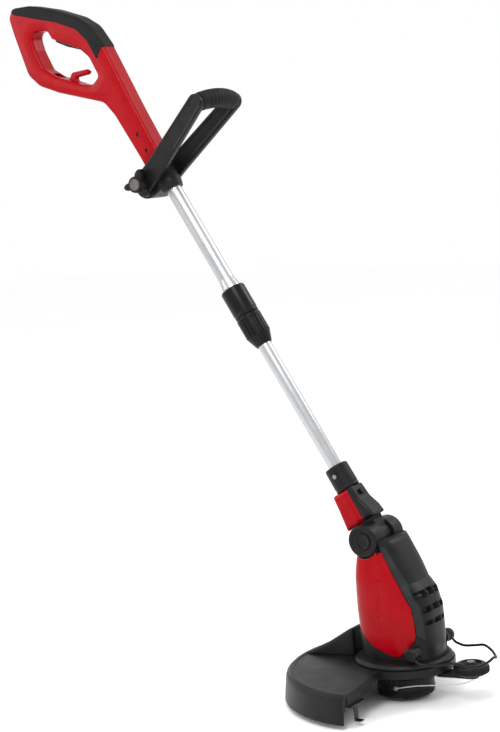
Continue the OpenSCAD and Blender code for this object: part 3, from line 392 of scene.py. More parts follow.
def fillOutline(loops, spacing, rims=(0.12, 0.45, 1.0, 1.9, 3.2), marks=()):
    # Triangles over an outline with holes: its points lie on the loops, on lines just inside them,
    # and on a grid. marks are further closed lines that triangles follow. Returns points, triangles
    # and distance from the edge.
    loops = [resample(loop, spacing) for loop in loops]
    fixed = loops + [resample(mark, 0.5) for mark in marks]
    inner = []
    for loop in loops:
        along = np.roll(loop, -1, 0) - np.roll(loop, 1, 0)
        normal = np.stack((-along[:, 1], along[:, 0]), -1) / np.linalg.norm(along, axis=1)[:, None]
        for rim in rims:
            for sign in (1, -1):
                ring = loop + sign * rim * normal
                inner.append(ring[edgeDistance(ring, loops) > 0.93 * rim])
    low, high = loops[0].min(0), loops[0].max(0)
    grid = np.stack(np.meshgrid(*[np.arange(low[k], high[k], spacing) for k in (0, 1)]), -1).reshape(-1, 2)
    inner.append(grid[edgeDistance(grid, loops) > rims[-1] + 0.6 * spacing])
    inner = np.concatenate(inner)
    inner = inner[isInside(inner, loops[0])]
    for hole in loops[1:]:
        inner = inner[~isInside(inner, hole)]
    if marks:
        inner = inner[edgeDistance(inner, fixed[len(loops):]) > 0.3]
    points = np.concatenate(fixed + [inner])
    edges, count = [], 0
    for loop in fixed:
        edges += [(count + k, count + (k + 1) % len(loop)) for k in range(len(loop))]
        count += len(loop)
    found = delaunay_2d_cdt([Vector(p) for p in points], edges, [], 0, 1e-5)
    points = np.array([tuple(v) for v in found[0]])
    triangles = np.array([f for f in found[2] if len(f) == 3])
    middle = points[triangles].mean(1)
    keep = isInside(middle, loops[0])
    for hole in loops[1:]:
        keep &= ~isInside(middle, hole)
    return points, triangles[keep], edgeDistance(points, loops)


def thicken(points, triangles, low, high):
    # Closed body between two heights over a filled outline: both faces and the walls at its rim.
    count = len(points)
    edges = np.sort(np.concatenate((triangles[:, :2], triangles[:, 1:], triangles[:, ::2])), 1)
    edges, uses = np.unique(edges, axis=0, return_counts=True)
    rim = edges[uses == 1]
    walls = np.stack((rim[:, 0], rim[:, 1], rim[:, 1] + count, rim[:, 0] + count), -1)
    body = np.vstack((np.column_stack((points, low)), np.column_stack((points, high))))
    return body, ([list(f) for f in triangles] + [list(f) for f in triangles[:, ::-1] + count]
                  + [list(f) for f in walls])


def bulge(distance, height, reach):
    # Quarter ellipse: height at reach from the edge, nothing at the edge.
    t = 1 - np.clip(distance / reach, 0, 1)
    return height * np.sqrt(np.maximum(0, 1 - t * t))


def toWorld(points, origin, x, y, z):
    points = np.asarray(points, float)
    return np.asarray(origin) + points[:, :1] * x + points[:, 1:2] * y + points[:, 2:3] * z


def onShaft(points):
    # From (front, side, along the shaft) to the object's frame.
    return toWorld(points, pivot, shaftFront, sideways, shaftUp)


def turnedFrame(along, front, turn):
    # Origin and axes of a frame on the shaft, turned from its length towards its front by turn
    # degrees.
    s, c = math.sin(math.radians(turn)), math.cos(math.radians(turn))
    origin = pivot + along * shaftUp + front * shaftFront
    return origin, c * shaftFront - s * shaftUp, sideways, c * shaftUp + s * shaftFront


# Outlines are [along the shaft, to its front, radius], as the handle is drawn.
rearHandle = {
    "half": 17.0, "reach": 5.5, "seam": 0.3, "spacing": 1.9,
    "outer": [[692, -16, 0.5], [792, -18, 20], [822, -24, 26], [889, -91, 40], [922, -118, 30],
              [950, -127, 30],
              [1020, -112, 60], [1050, -104, 14], [1057, -88, 14], [1038, -56, 40], [1003, -20, 80],
              [964, 13, 60],
              [936, 28, 40], [898, 31, 60], [790, 24, 30], [773, 23, 4], [692, 20, 0.5]],
    "inner": [[1004, -81, 12], [986, -53, 8], [980, -50, 1], [967, -50, 3], [920, -13, 12], [897, -5, 20],
              [861, -7, 7], [858, -27, 12], [874, -46, 12], [893, -62, 10], [914, -80, 8], [938, -93, 14],
              [974, -90, 20]],
    "hook": [[876, -55, 1], [894, -78, 1], [904, -55, 3], [890, -27, 2.5], [884, -24, 2.5], [881, -29, 2],
             [892, -53, 2]],
    "hookHalf": 5.0, "softMiddle": [-45, 960],
    "softEdge": [[1043, -88, 5], [1034, -78, 6], [1006, -50, 10], [982, -25, 20], [948, 2, 20],
                 [918, 10, 16],
                 [882, 8, 2], [892, 24, 6], [893, 44, 2], [960, 60, 5], [1075, -60, 5], [1066, -100, 2]],
    "screws": [[709.5, 3.5], [739.5, 4], [836, 20], [1036, -90], [968, -111], [868, -58]],
    "nearScrews": 2, "screwHole": 3.6, "screwDepth": 4.6,
    "triggerPin": [921, -7.5], "triggerTip": [967, -47], "slotHalf": 7.8,
    "inlet": [910, -93], "inletTurn": -30,
}


def swapped(corners, steps=6):
    # Outline in (front, along) from corners given as (along, front, radius).
    return roundCorners([[v, s, r] for s, v, r in corners], steps)


def handleHeight(points, distance):
    # Half thickness of the rear handle: a flattened oval section, with a soft ridge down the neck's
    # side.
    h = rearHandle
    fromEnd = smoothStep(points[:, 1], 690, 712)
    reach = 3.0 + (h["reach"] - 3.0) * fromEnd
    height = h["half"] - h["reach"] - 0.8 + bulge(distance, h["reach"], reach)
    ridge = np.clip(distance - h["reach"], 0, None) * 0.09
    return height + np.minimum(ridge, 0.8)


def buildRearHandle():
    h = rearHandle
    outer, inner = swapped(h["outer"]), swapped(h["inner"])
    marks = []
    for s, v in h["screws"]:
        marks += [circle(h["screwHole"], 28) + (v, s), circle(h["screwHole"] - 0.25, 28) + (v, s)]
    points, triangles, distance = fillOutline([outer, inner], h["spacing"], marks=marks)
    height = handleHeight(points, distance)
    pinV, pinS = h["triggerPin"][1], h["triggerPin"][0]
    along = np.array((h["triggerTip"][1] - pinV, h["triggerTip"][0] - pinS))
    length = np.linalg.norm(along)
    along /= length
    across = np.array((along[1], -along[0]))
    local = points - (pinV, pinS)
    t, n = local @ along, local @ across
    slot = (t > -6) & (t < length + 5) & (n > -12) & (n < 9)
    origin, xAxis, yAxis, zAxis = turnedFrame(h["inlet"][0], h["inlet"][1], h["inletTurn"])
    world = onShaft(np.column_stack((points[:, 0], np.zeros(len(points)), points[:, 1]))) - origin
    mouth = (np.abs(world @ zAxis) < 9.5) & (world @ xAxis > -9) & (world @ xAxis < 30)
    floor = np.where(slot, h["slotHalf"], 0.0)
    floor = np.maximum(floor, np.where(mouth, 8.3, 0.0))
    seam = np.where(distance < 0.06, 0.55, 0.12)
    for side, name, newName in ((-1, "handle_shell_left", "handleShellLeft"),
                                (1, "handle_shell_right", "handleShellRight")):
        body = height.copy()
        for s, v in h["screws"][:h["nearScrews"]] if side < 0 else h["screws"][h["nearScrews"]:]:
            near = np.linalg.norm(points - (v, s), axis=1) < h["screwHole"] - 0.1
            body = np.where(near, body - h["screwDepth"], body)
        body = np.maximum(body, floor + 0.02)
        low = side * np.maximum(seam, floor)
        flat, faces = thicken(points, triangles, low, side * np.maximum(body, np.maximum(seam, floor)))
        hook, hookFaces = hookPart(side)
        shell, faces = joinParts([(onShaft(flat[:, [0, 2, 1]]), faces), (hook, hookFaces)])
        addPiece(newName, shell, faces, "root", redAbs, [name], 50, even=True)


def hookPart(side):
    # Half of the cable hook: its outline raised to a rounded plate on one side of the seam.
    h = rearHandle
    points, triangles, distance = fillOutline([swapped(h["hook"])], 1.4, (0.12, 0.45, 1.0))
    high = 0.12 + bulge(distance, h["hookHalf"] - 0.12, 2.4)
    body, faces = thicken(points, triangles, np.full(len(points), side * 0.12), side * high)
    return onShaft(body[:, [0, 2, 1]]), faces


def buildSoftGrip():
    # The overmould: the part of the handle's outline that lies inside the grip's edge, a millimetre
    # proud.
    h = rearHandle
    outer = resample(swapped(h["outer"]), 1.0)
    edge = resample(swapped(h["softEdge"]), 1.0)
    outside = isInside(outer, edge)
    within = isInside(edge, outer)
    outer = np.roll(outer, -int(np.flatnonzero(~outside & np.roll(outside, -1))[0]) - 1, 0)
    outer = outer[isInside(outer, edge)]
    edge = np.roll(edge, -int(np.flatnonzero(~within & np.roll(within, -1))[0]) - 1, 0)
    edge = edge[isInside(edge, resample(swapped(h["outer"]), 1.0))]
    if np.linalg.norm(outer[-1] - edge[0]) > np.linalg.norm(outer[-1] - edge[-1]):
        edge = edge[::-1]
    loop = np.vstack((outer, edge))
    points, triangles, distance = fillOutline([loop], 1.35, (0.3, 0.9, 1.7))
    full = resample(swapped(h["outer"]), 1.0)
    fromRim = edgeDistance(points, [full])
    fromEdge = edgeDistance(points, [edge[2:-2]]) if len(edge) > 8 else distance
    height = handleHeight(points, fromRim) + 1.1 * smoothStep(fromEdge, -0.2, 1.4)
    run = (points @ np.array((-0.62, 0.78)))
    ribs = smoothStep(np.cos(run * 2 * np.pi / 5.4), 0.55, 0.95)
    band = smoothStep(fromRim, 2.5, 4.5) * smoothStep(fromEdge, 3.0, 5.0) * smoothStep(points[:, 1], 985,
                                                                                       992)
    height -= 0.7 * ribs * band
    middle = np.array(h["softMiddle"])
    away = (points - middle) / np.linalg.norm(points - middle, axis=1)[:, None]
    points = points + away * (0.9 * smoothStep(fromRim, 1.2, 0.2))[:, None]
    body, faces = thicken(points, triangles, -height, height)
    body = onShaft(body[:, [0, 2, 1]])
    addPiece("softGrip", body, faces, "root", softGripRubber, ["soft_grip"], 60, even=True)


triggerShape = {"half": 7.0, "pad": [[-7, 4, 3], [-8.5, 33, 20], [-7, 54.6, 4], [-6, 60.6, 2], [2, 60.6, 1],
                                     [2, -3.5, 1], [-3, -3.5, 2]], "groove": 4.6}


def buildTrigger():
    # Curved finger lever with rounded edges and shallow grooves across its pad.
    h, t = rearHandle, triggerShape
    alongS, alongV = h["triggerTip"][0] - h["triggerPin"][0], h["triggerTip"][1] - h["triggerPin"][1]
    turn = math.degrees(math.atan2(alongV, alongS))
    points, triangles, distance = fillOutline([roundCorners(t["pad"])], 1.2, (0.15, 0.5, 1.1))
    high = t["half"] - 2 + bulge(distance, 2, 2)
    groove = 0.35 * smoothStep(np.cos(points[:, 1] * 2 * np.pi / t["groove"]), 0.4, 0.9)
    inset = np.column_stack((points[:, 0] + groove * (points[:, 0] < -5), points[:, 1]))
    body, faces = thicken(inset, triangles, -high, high)
    body = toWorld(body[:, [0, 2, 1]], *turnedFrame(*h["triggerPin"], turn))
    addPiece("trigger", body, faces, "trigger", blackPolypropylene, ["trigger"], even=True)


loopHandle = {"lean": 11.0, "footY": 27.5, "gripY": 49.0, "length": 176.0, "foot": 17.0, "round": 14.0,
              "bend": 34.0, "half": 5.5, "edge": 2.6, "panelFrom": 84.0, "panelIn": 3.6, "panelDepth": 0.9,
              "crown": 9.0, "grip": 15.6, "ribs": 10}


def armFrame():
    # Bolt axis with X along the arms to the grip and Z to their upper side.
    turn = math.radians(-loopHandle["lean"])
    c, s = math.cos(turn), math.sin(turn)
    return boltMiddle, c * shaftFront - s * shaftUp, sideways, c * shaftUp + s * shaftFront


def armMiddle(x):
    # Height of an arm's middle plane: flat at its foot, then straight out to the grip, with a
    # smooth bend.
    a = loopHandle
    slope = (a["gripY"] - a["footY"]) / (a["length"] - a["bend"])
    soft = 6.0
    return a["footY"] + slope * soft * np.logaddexp(0, (x - a["bend"]) / soft)


def buildArms():
    a = loopHandle
    lean = math.asin((a["foot"] - a["round"]) / a["length"]) + math.pi / 2
    foot = np.linspace(lean, 2 * math.pi - lean, 28)
    end = np.linspace(-lean, lean, 28)
    outline = np.vstack((np.column_stack((a["foot"] * np.cos(foot), a["foot"] * np.sin(foot))),
                         np.column_stack((a["length"] + a["round"] * np.cos(end),
                                          a["round"] * np.sin(end)))))
    hole = circle(4.1, 24)
    points, triangles, distance = fillOutline([outline, hole], 1.7)
    rim = edgeDistance(points, [resample(outline, 1.0)])
    panel = smoothStep(rim, a["panelIn"], a["panelIn"] + 0.7) * smoothStep(points[:, 0], a["panelFrom"],
                                                                           a["panelFrom"] + 14)
    leaf = np.abs(points[:, 1] - 2.5 - 0.02 * (points[:, 0] - 150) ** 2 / 4)
    leaf = smoothStep(leaf, 0.9, 0.3) * smoothStep(points[:, 0], 140, 146) * smoothStep(rim, 3.6, 5)
    edge = bulge(rim, a["edge"], a["edge"]) + a["half"] - a["edge"]
    parts = []
    for side in (-1, 1):
        middle = side * armMiddle(points[:, 0])
        outward = edge - a["panelDepth"] * panel - 0.45 * leaf
        inward = edge - 1.0 * smoothStep(rim, 5.5, 6.5) * smoothStep(points[:, 0], 30, 40)
        body, faces = thicken(points, triangles, middle - side * inward, middle + side * outward)
        parts.append((toWorld(body[:, [0, 2, 1]], *armFrame()), faces))
    addPiece("loopArms", *joinParts(parts), "loop_handle", blackPolypropylene, ["aux_handle"], 50,
             even=True)


def buildLoopGrip():
    # Grip on an arc between the arms: a round section whose radius drops in narrow grooves between
    # wide ribs.
    a = loopHandle
    crownRadius = (a["gripY"] ** 2 + a["crown"] ** 2) / (2 * a["crown"])
    limit = math.asin((a["gripY"] - 5.0) / crownRadius)
    t = np.linspace(-1, 1, 181)
    turn = t * limit
    path = np.column_stack((a["length"] + a["crown"] - crownRadius + crownRadius * np.cos(turn),
                            crownRadius * np.sin(turn), np.zeros(len(t))))
    phase = (t * 0.5 + 0.5) * (a["ribs"] + 2)
    gap = np.abs(phase - np.round(phase)) / (a["ribs"] + 2) * 2 * limit * crownRadius
    count = np.round(phase)
    ribbed = (count >= 2) & (count <= a["ribs"])
    groove = np.where(ribbed, smoothStep(gap, 1.0, 0.4), 0)
    ends = smoothStep(np.abs(t), 0.955, 1.0)
    radius = a["grip"] - 1.1 * groove - 1.6 * ends - 0.6 * np.abs(t) ** 3
    section = circle(1.0, 56)[None] * radius[:, None, None] * np.array((1.0, 0.94))
    points, faces = sweep(path, section)
    addPiece("loopGrip", toWorld(points, *armFrame()), faces, "loop_handle", softGripRubber, ["aux_grip"],
             60)


clampKnob = {"core": 13.5, "lobe": 25.0, "front": -52.6, "back": -33.6, "lobeFront": -49.6,
             "lobeBack": -36.6,
             "cap": 9.2}


def lobed(t, core, lobe):
    # Radius of a hub with three rounded lobes: core plus the rest times cos(3t) to the power 1.5
    # where positive.
    return core + (lobe - core) * np.maximum(0, np.cos(3 * (t + math.radians(80)))) ** 1.5


def buildKnob():
    k = clampKnob
    t = np.linspace(0, 2 * np.pi, 180, endpoint=False)
    around = np.column_stack((np.cos(t), np.sin(t)))
    parts = []
    depths = [(k["lobeBack"], 2.2), (k["lobeBack"] - 0.6, 0.8), (k["lobeBack"] - 2.0, 0.0),
              (k["lobeFront"] + 2.0, 0.0), (k["lobeFront"] + 0.6, 0.7), (k["lobeFront"], 2.2)]
    rings = [np.column_stack((around * (lobed(t, k["core"], k["lobe"]) - inset)[:, None],
                              np.full(len(t), y)))
             for y, inset in depths]
    faces = [list(f) for f in gridFaces(len(rings), len(t), False, True)]
    faces += [list(range(len(t))), [(len(rings) - 1) * len(t) + n for n in range(len(t))]]
    parts.append((np.concatenate(rings)[:, [0, 2, 1]], faces))
    hub = roundCorners([[0, k["back"], 0], [13, k["back"], 0.8], [13, k["front"], 1.6],
                        [k["cap"] + 0.2, k["front"], 0.5],
                        [k["cap"] + 0.2, k["front"] + 4.2, 0.4], [0, k["front"] + 4.2, 0]], 4, False)
    body, faces = revolve(hub, 72, False)
    parts.append((body[:, [0, 2, 1]], faces))
    points, faces = joinParts(parts)
    points = toWorld(points, boltMiddle, shaftFront, sideways, shaftUp)
    addPiece("clampKnob", points, faces, "clamp_knob", blackPolypropylene, ["star_knob"])
    cap = roundCorners([[0, k["front"] + 4.1, 0], [k["cap"], k["front"] + 4.1, 0.2],
                        [k["cap"], k["front"] - 0.4, 0.5],
                        [7.6, k["front"] - 0.7, 0.4], [6.4, k["front"] + 0.6, 1.2],
                        [0, k["front"] + 1.2, 0]], 4, False)
    body, faces = revolve(cap, 64, False)
    points = toWorld(body[:, [0, 2, 1]], boltMiddle, shaftFront, sideways, shaftUp)
    addPiece("knobCap", points, faces, "clamp_knob", greyPolypropylene, ["knob_cap"])


tubes = {"upper": [[11.3, 465, 0], [14.3, 447, 0], [14.3, 405.2, 0], [15.4, 405.2, 0.4], [15.4, 449, 3],
                   [12.5, 465, 8], [12.5, 789.7, 0.3], [11.3, 789.7, 0.3]],
         "lower": [[9.8, 63.2, 0.3], [11, 63.2, 0.3], [11, 522.8, 0.3], [9.8, 522.8, 0.3]]}
shaftParts = {"sleeve": [[14.6, 366, 0], [16.2, 366, 0.3], [16.2, 397.6, 0.2], [19.6, 397.6, 0.8],
                         [20.1, 402, 0.6],
                         [19.5, 403.2, 0.3], [19.5, 404.2, 0.3], [20.3, 405.4, 0.6], [20.3, 444.5, 1.4],
                         [18.8, 447, 0.7], [15.6, 447, 0], [15.6, 404, 0], [14.6, 404, 0]],
              "collar": [[11.9, 344, 0.4], [13.2, 344, 0.8], [19.0, 360, 2.5], [20.3, 363.5, 1.0],
                         [20.3, 395, 1.2], [19.2, 397, 0.5], [17.9, 397, 0], [17.9, 364, 0], [15.1, 363, 0],
                         [15.1, 356, 0], [11.9, 356, 0]],
              "flutes": 18, "fluteDepth": 1.3, "fluteFrom": 360.5, "fluteTo": 393.5}


def alongShaft(body):
    points, faces = body
    return onShaft(points), faces


def buildShaftParts():
    # Sleeve and twist collar, turned about the shaft. A flute is a smooth notch that fades at both
    # of its ends.
    s = shaftParts
    upper, lower = roundCorners(tubes["upper"], 6), roundCorners(tubes["lower"], 3)
    addPiece("upperTube", *alongShaft(revolve(upper, 128)), "root", anodisedTube, ["upper_tube"])
    addPiece("lowerTube", *alongShaft(revolve(lower, 128)), "lower_shaft", anodisedTube, ["lower_tube"])
    addPiece("telescopeSleeve", *alongShaft(revolve(roundCorners(s["sleeve"], 4), 120)), "root", blackNylon,
             ["telescope_sleeve"])
    profile = resample(roundCorners(s["collar"], 4), 0.9)

    def flute(r, z, a):
        wave = smoothStep(np.cos(a * s["flutes"]), -0.25, -0.75)
        ends = smoothStep(z, s["fluteFrom"], s["fluteFrom"] + 3) * smoothStep(z, s["fluteTo"],
                                                                              s["fluteTo"] - 2)
        return r - s["fluteDepth"] * wave * ends * (r > 18.2)

    addPiece("twistCollar", *alongShaft(revolve(profile, 288, change=flute)), "collar", blackNylon,
             ["twist_collar"])


neck = {"collar": [[11.05, 84, 0], [19.0, 84, 0.7], [19.4, 86.5, 0.5], [18.7, 87.6, 0.3], [18.7, 88.6, 0.3],
                   [19.3, 90, 0.5], [18.8, 121, 1.4], [17.2, 123, 0.8], [11.05, 123, 0]],
        "spigot": [[11.05, 63, 0], [14, 63, 0.6], [14, 69, 0.5], [12, 69, 0.3], [12, 84.2, 0],
                   [11.05, 84.2, 0]],
        "screwAt": 108.0, "screwHole": 3.8, "screwFloor": 16.2,
        "half": 19.5, "split": 7.0, "top": 83.7, "bottom": 27.0,
        "side": [[83.7, -23, 3], [60, -26, 30], [27, -31, 1], [27, 27, 2], [41, 25, 14], [60, 18, 20],
                 [83.7, 16, 3]],
        "knuckle": 20.0, "knuckleHalf": 13.7, "pin": 4.05, "edge": 5.0, "latchAt": 70.0}


def buildNeckCollar():
    n = neck
    profile = resample(roundCorners(n["collar"], 4), 0.7)

    def screwHole(r, z, a):
        away = np.hypot((a - 1.5 * np.pi) * r, z - n["screwAt"])
        rib = np.abs((a - 1.5 * np.pi) * r)
        slot = smoothStep(rib, 2.4, 1.8) * smoothStep(z, 89.5, 90.5) * smoothStep(z, 102, 101)
        r = np.where(r > 17.0, r - 0.7 * slot, r)
        return np.where((away < n["screwHole"]) & (r > 16.5), n["screwFloor"], r)

    body = joinParts([alongShaft(revolve(profile, 240, change=screwHole)),
                      alongShaft(revolve(roundCorners(n["spigot"], 3), 72))])
    addPiece("neckCollar", *body, "lower_shaft", blackPolypropylene, ["neck_collar"])


def plateOnShaft(outline, half, edge, shape=None, spacing=1.5):
    # Plate across the shaft over an outline in (front, along), its long edges rounded by a quarter
    # ellipse.
    points, triangles, distance = fillOutline([outline], spacing, (0.2, 0.6, 1.2, 2.2, 3.6))
    high = half - edge + bulge(distance, edge, edge)
    if shape:
        high = shape(points, distance, high)
    body, faces = thicken(points, triangles, -high, high)
    return onShaft(body[:, [0, 2, 1]]), faces


def cutAt(outline, value, keepBelow):
    # The part of a closed outline on one side of a line square to its first axis.
    keep = outline[:, 0] < value if keepBelow else outline[:, 0] > value
    out = []
    for i in range(len(outline)):
        a, b = outline[i - 1], outline[i]
        if keep[i - 1] != keep[i]:
            t = (value - a[0]) / (b[0] - a[0])
            out.append(a + t * (b - a))
        if keep[i]:
            out.append(b)
    return np.array(out)


def buildNeck():
    # Red cover over the back of the neck, black front with its strip and knuckle.
    n = neck
    side = swapped(n["side"])

    def coverShape(points, distance, high):
        fromSplit = n["split"] - points[:, 0]
        crease = 0.9 * smoothStep(fromSplit, 7.5, 4.5)
        rear = bulge(edgeDistance(points, [side]), 7.0, 8.0) - 7.0
        return n["half"] + rear - crease

    cover = plateOnShaft(cutAt(side, n["split"] - 0.15, True), n["half"], n["edge"], coverShape)
    addPiece("neckCover", *cover, "neck", redAbs, ["neck_cover"], 45, even=True)

    def bodyShape(points, distance, high):
        rim = edgeDistance(points, [side])
        strip = 1.4 * smoothStep(points[:, 0] - n["split"], 0.8, 5.0)
        latch = smoothStep(np.hypot((points[:, 0] - 26) / 9, (points[:, 1] - n["latchAt"]) / 7), 1.1, 0.8)
        return n["half"] - 1.3 + bulge(rim, 6.0, 7.0) - 6.0 + strip - 0.9 * latch

    front = plateOnShaft(cutAt(side, n["split"] + 0.15, False), n["half"], n["edge"], bodyShape)
    knuckle = revolve(roundCorners([[n["pin"], -n["knuckleHalf"], 0], [n["knuckle"], -n["knuckleHalf"], 1],
                                    [n["knuckle"], n["knuckleHalf"], 1], [n["pin"], n["knuckleHalf"], 0]],
                                   3), 96)
    knuckle = onShaft(knuckle[0][:, [0, 2, 1]]), knuckle[1]
    web = swapped([[6, -15, 2], [n["bottom"] + 1, -16, 1], [n["bottom"] + 1, 20, 1], [6, 18, 2]])
    addPiece("neckFront", *joinParts([front, knuckle, plateOnShaft(web, n["knuckleHalf"], 1.0)]), "neck",
             blackPolypropylene, ["neck_body"], 45, even=True)


drum = {"radius": 25.0, "inside": 14.1, "outside": 42.0, "round": 4.0, "button": 13.5, "pin": 4.0,
        "ring": 17.5, "ringStep": 1.2}


def aboutPivot(body, side=1):
    # A body turned about Z laid along Y, at the tilt joint.
    points, faces = body
    return pivot + points[:, [0, 2, 1]] * (1, side, 1), faces


def buildDrums():
    d = drum
    rim = [[d["radius"], d["inside"], 0.5], [d["radius"], d["outside"], d["round"]],
           [d["ring"] + 1, d["outside"], 0.6], [d["ring"], d["outside"] - d["ringStep"], 0.4]]
    near = roundCorners([[d["pin"], d["inside"], 0]] + rim +
                        [[d["button"] + 0.3, d["outside"] - d["ringStep"], 0.3],
                         [d["button"] + 0.3, d["outside"] - 11, 0], [d["pin"], d["outside"] - 11, 0]], 5)
    addPiece("tiltDrumNear", *aboutPivot(revolve(near, 120), -1), "head", blackPolypropylene,
             ["pivot_cap_near"])
    far = roundCorners([[d["pin"], d["inside"], 0]] + rim + [[0, d["outside"] - d["ringStep"], 0],
                                                              [0, d["outside"] - 8, 0],
                                                              [d["pin"], d["outside"] - 8, 0]], 5)
    addPiece("tiltDrumFar", *aboutPivot(revolve(far, 120), 1), "head", blackPolypropylene,
             ["pivot_cap_far"])
    button = roundCorners([[0, 36, 0], [d["button"], 36, 0.3], [d["button"], 42.6, 1.2], [10.5, 42.6, 1.0],
                           [7.5, 41.4, 2.0], [0, 41.2, 0]], 5, False)
    addPiece("tiltButton", *aboutPivot(revolve(button, 96, False), -1), "tilt_release", blackNylon,
             ["tilt_button"])


housing = {
    "rear": [[-60, 58], [-62, 100], [-64, 136], [-64, 162], [-60, 197], [-57, 214], [-54, 224],
             [-50, 227.5]],
    "front": [[64, 58], [62, 98], [60, 140], [52.5, 164], [37, 181], [9.5, 240], [5, 247.5]],
    "width": [[47, 58], [50, 100], [51, 140], [49, 185], [41.5, 225], [40, 248]],
    "low": 65.8, "trough": 25.6, "topFront": 247.0,
    "redLow": [[-70, 122], [-58, 114], [-40, 95], [-23, 84], [6, 73], [14, 71.5], [22, 73.5], [38, 88],
               [45, 99],
               [48, 110]],
    "redFront": [[46, 66], [46.5, 104], [45, 132], [42, 148], [-6, 236], [-12, 248]],
    "redTop": 230.0, "chamfer": 9.0, "proud": 2.6, "highlightLow": 88.0, "highlightHigh": 238.0,
    "wall": 2.4, "rows": 190, "columns": 360,
    "vents": [164, 144.5, 125], "ventHigh": 3.3, "ventDepth": 6.0,
}


def housingPoint(z, angle, inset=0.0):
    # Point at a height and a plan angle. The plan is a superellipse between the side view's rear
    # and front lines.
    h = housing
    rear = np.interp(z, [c[1] for c in h["rear"]], [c[0] for c in h["rear"]]) + inset
    front = np.interp(z, [c[1] for c in h["front"]], [c[0] for c in h["front"]]) - inset
    wide = np.interp(z, [c[1] for c in h["width"]], [c[0] for c in h["width"]]) - inset
    power = 2 / (2.7 + 0.9 * smoothStep(z, 150, 235))
    c, s = np.cos(angle), np.sin(angle)
    x = (rear + front) / 2 + (front - rear) / 2 * np.sign(c) * np.abs(c) ** power
    return x, wide * np.sign(s) * np.abs(s) ** power


def housingTop(x):
    # Upper edge of the housing at x: the trough that the tilt drums lie in, then the crest in front
    # of it.
    h = housing
    reach = np.clip(h["trough"] ** 2 - (x - pivot[0]) ** 2, 0, None)
    trough = pivot[2] - np.sqrt(reach)
    rearLip = np.interp(x, [-64, -60, -57, -54, -50], [197, 197, 214, 224, 227.5])
    top = np.where(x > pivot[0] + h["trough"] - 0.3, h["topFront"], trough)
    return np.minimum(top, np.where(x < -50, rearLip, 300))


def housingGrid(t, c, low, first, highest=300.0):
    # Grid of points: t runs up each column from the lower edge to the top, c runs round. low gives
    # the lower edge's height at x, first the plan angle at which the surface starts at a height.
    z = np.full(np.broadcast(t, c).shape, 150.0)
    for turn in range(24):
        start = first(z)
        angle = start + c * (2 * np.pi - 2 * start)
        x, y = housingPoint(z, angle)
        bottom = low(x)
        z = 0.5 * z + 0.5 * (bottom + t * (np.minimum(housingTop(x), highest) - bottom))
    return x, y, z, angle


def outward(x, y, z, distance):
    # Points moved along the surface's normal, taken from the grid itself.
    points = np.stack((x, y, z), -1)
    up, round_ = np.gradient(points, axis=0), np.gradient(points, axis=1)
    normal = np.cross(round_, up)
    normal /= np.maximum(np.linalg.norm(normal, axis=-1, keepdims=True), 1e-9)
    middle = points.mean((0, 1))
    sign = np.sign((normal * (points - middle)).sum(-1).mean())
    return points + sign * normal * np.asarray(distance)[..., None]


def angleAt(z, x):
    # Plan angle at which the surface has the given x at a height, found by halving.
    near, far = np.zeros(z.shape), np.full(z.shape, np.pi / 2 + 0.6)
    for turn in range(30):
        middle = (near + far) / 2
        ahead = housingPoint(z, middle)[0] > x
        near, far = np.where(ahead, middle, near), np.where(ahead, far, middle)
    return middle


def roundSine(start, stop, count):
    # Steps from start to stop that are finer near both ends.
    t = np.linspace(0, 1, count)
    return start + (stop - start) * (0.35 * t + 0.65 * (0.5 - 0.5 * np.cos(np.pi * t)))


def buildFrontShell():
    # Black shell: the whole surface a little inside the red cover, with a chamfer beside the split,
    # louvred slots pressed into its front, and the trough between the drums closing its top.
    h = housing
    t, c = np.meshgrid(np.linspace(0, 1, h["rows"]), np.arange(h["columns"]) / h["columns"], indexing="ij")
    x, y, z, angle = housingGrid(t, c, lambda x: np.full(x.shape, h["low"]), lambda z: np.zeros(z.shape))
    split = np.interp(z, [f[1] for f in h["redFront"]], [f[0] for f in h["redFront"]])
    lowEdge = np.interp(x, [f[0] for f in h["redLow"]], [f[1] for f in h["redLow"]])
    ahead = np.maximum(x - split, lowEdge - z)
    rise = np.clip((ahead - 0.4) / h["chamfer"], 0, 1)
    front = smoothStep(x, 0, 22) * smoothStep(z, 70, 92)
    inset = np.where(ahead > 0, -0.6 + (0.6 + h["proud"] * front) * rise, -2.9)
    plan = np.degrees(np.arctan2(y, x + 4))
    for level in h["vents"]:
        slope = z + 0.25 * (np.hypot(x, y) - 55)
        inRow = smoothStep(np.abs(slope - level), h["ventHigh"] + 0.5, h["ventHigh"] - 0.3)
        long = smoothStep(np.abs(np.abs(plan) - 36), 24.6, 23.4)
        short = smoothStep(np.abs(plan), 9.2, 8.0)
        inset = inset - h["ventDepth"] * inRow * np.maximum(long, short) * (ahead > h["chamfer"] + 1.5)
    inset = inset * smoothStep(t, 1.0, 0.97)
    points = outward(x, y, z, inset)
    top = points[-1]
    close = [np.stack((top[:, 0], top[:, 1] * (1 - k), top[:, 2]), -1) for k in (0.06, 0.3, 0.65, 1.0)]
    bottom = points[0]
    base = [np.stack((bottom[:, 0] * k, bottom[:, 1] * k, bottom[:, 2]), -1) for k in (0.4, 0.85)]
    rings = np.concatenate((base, points, close))
    faces = [list(f) for f in gridFaces(len(rings), h["columns"], False, True)]
    faces.append(list(range(h["columns"])))
    addPiece("frontShell", rings.reshape(-1, 3), faces, "head", blackPolypropylene, ["front_shell"], 34)


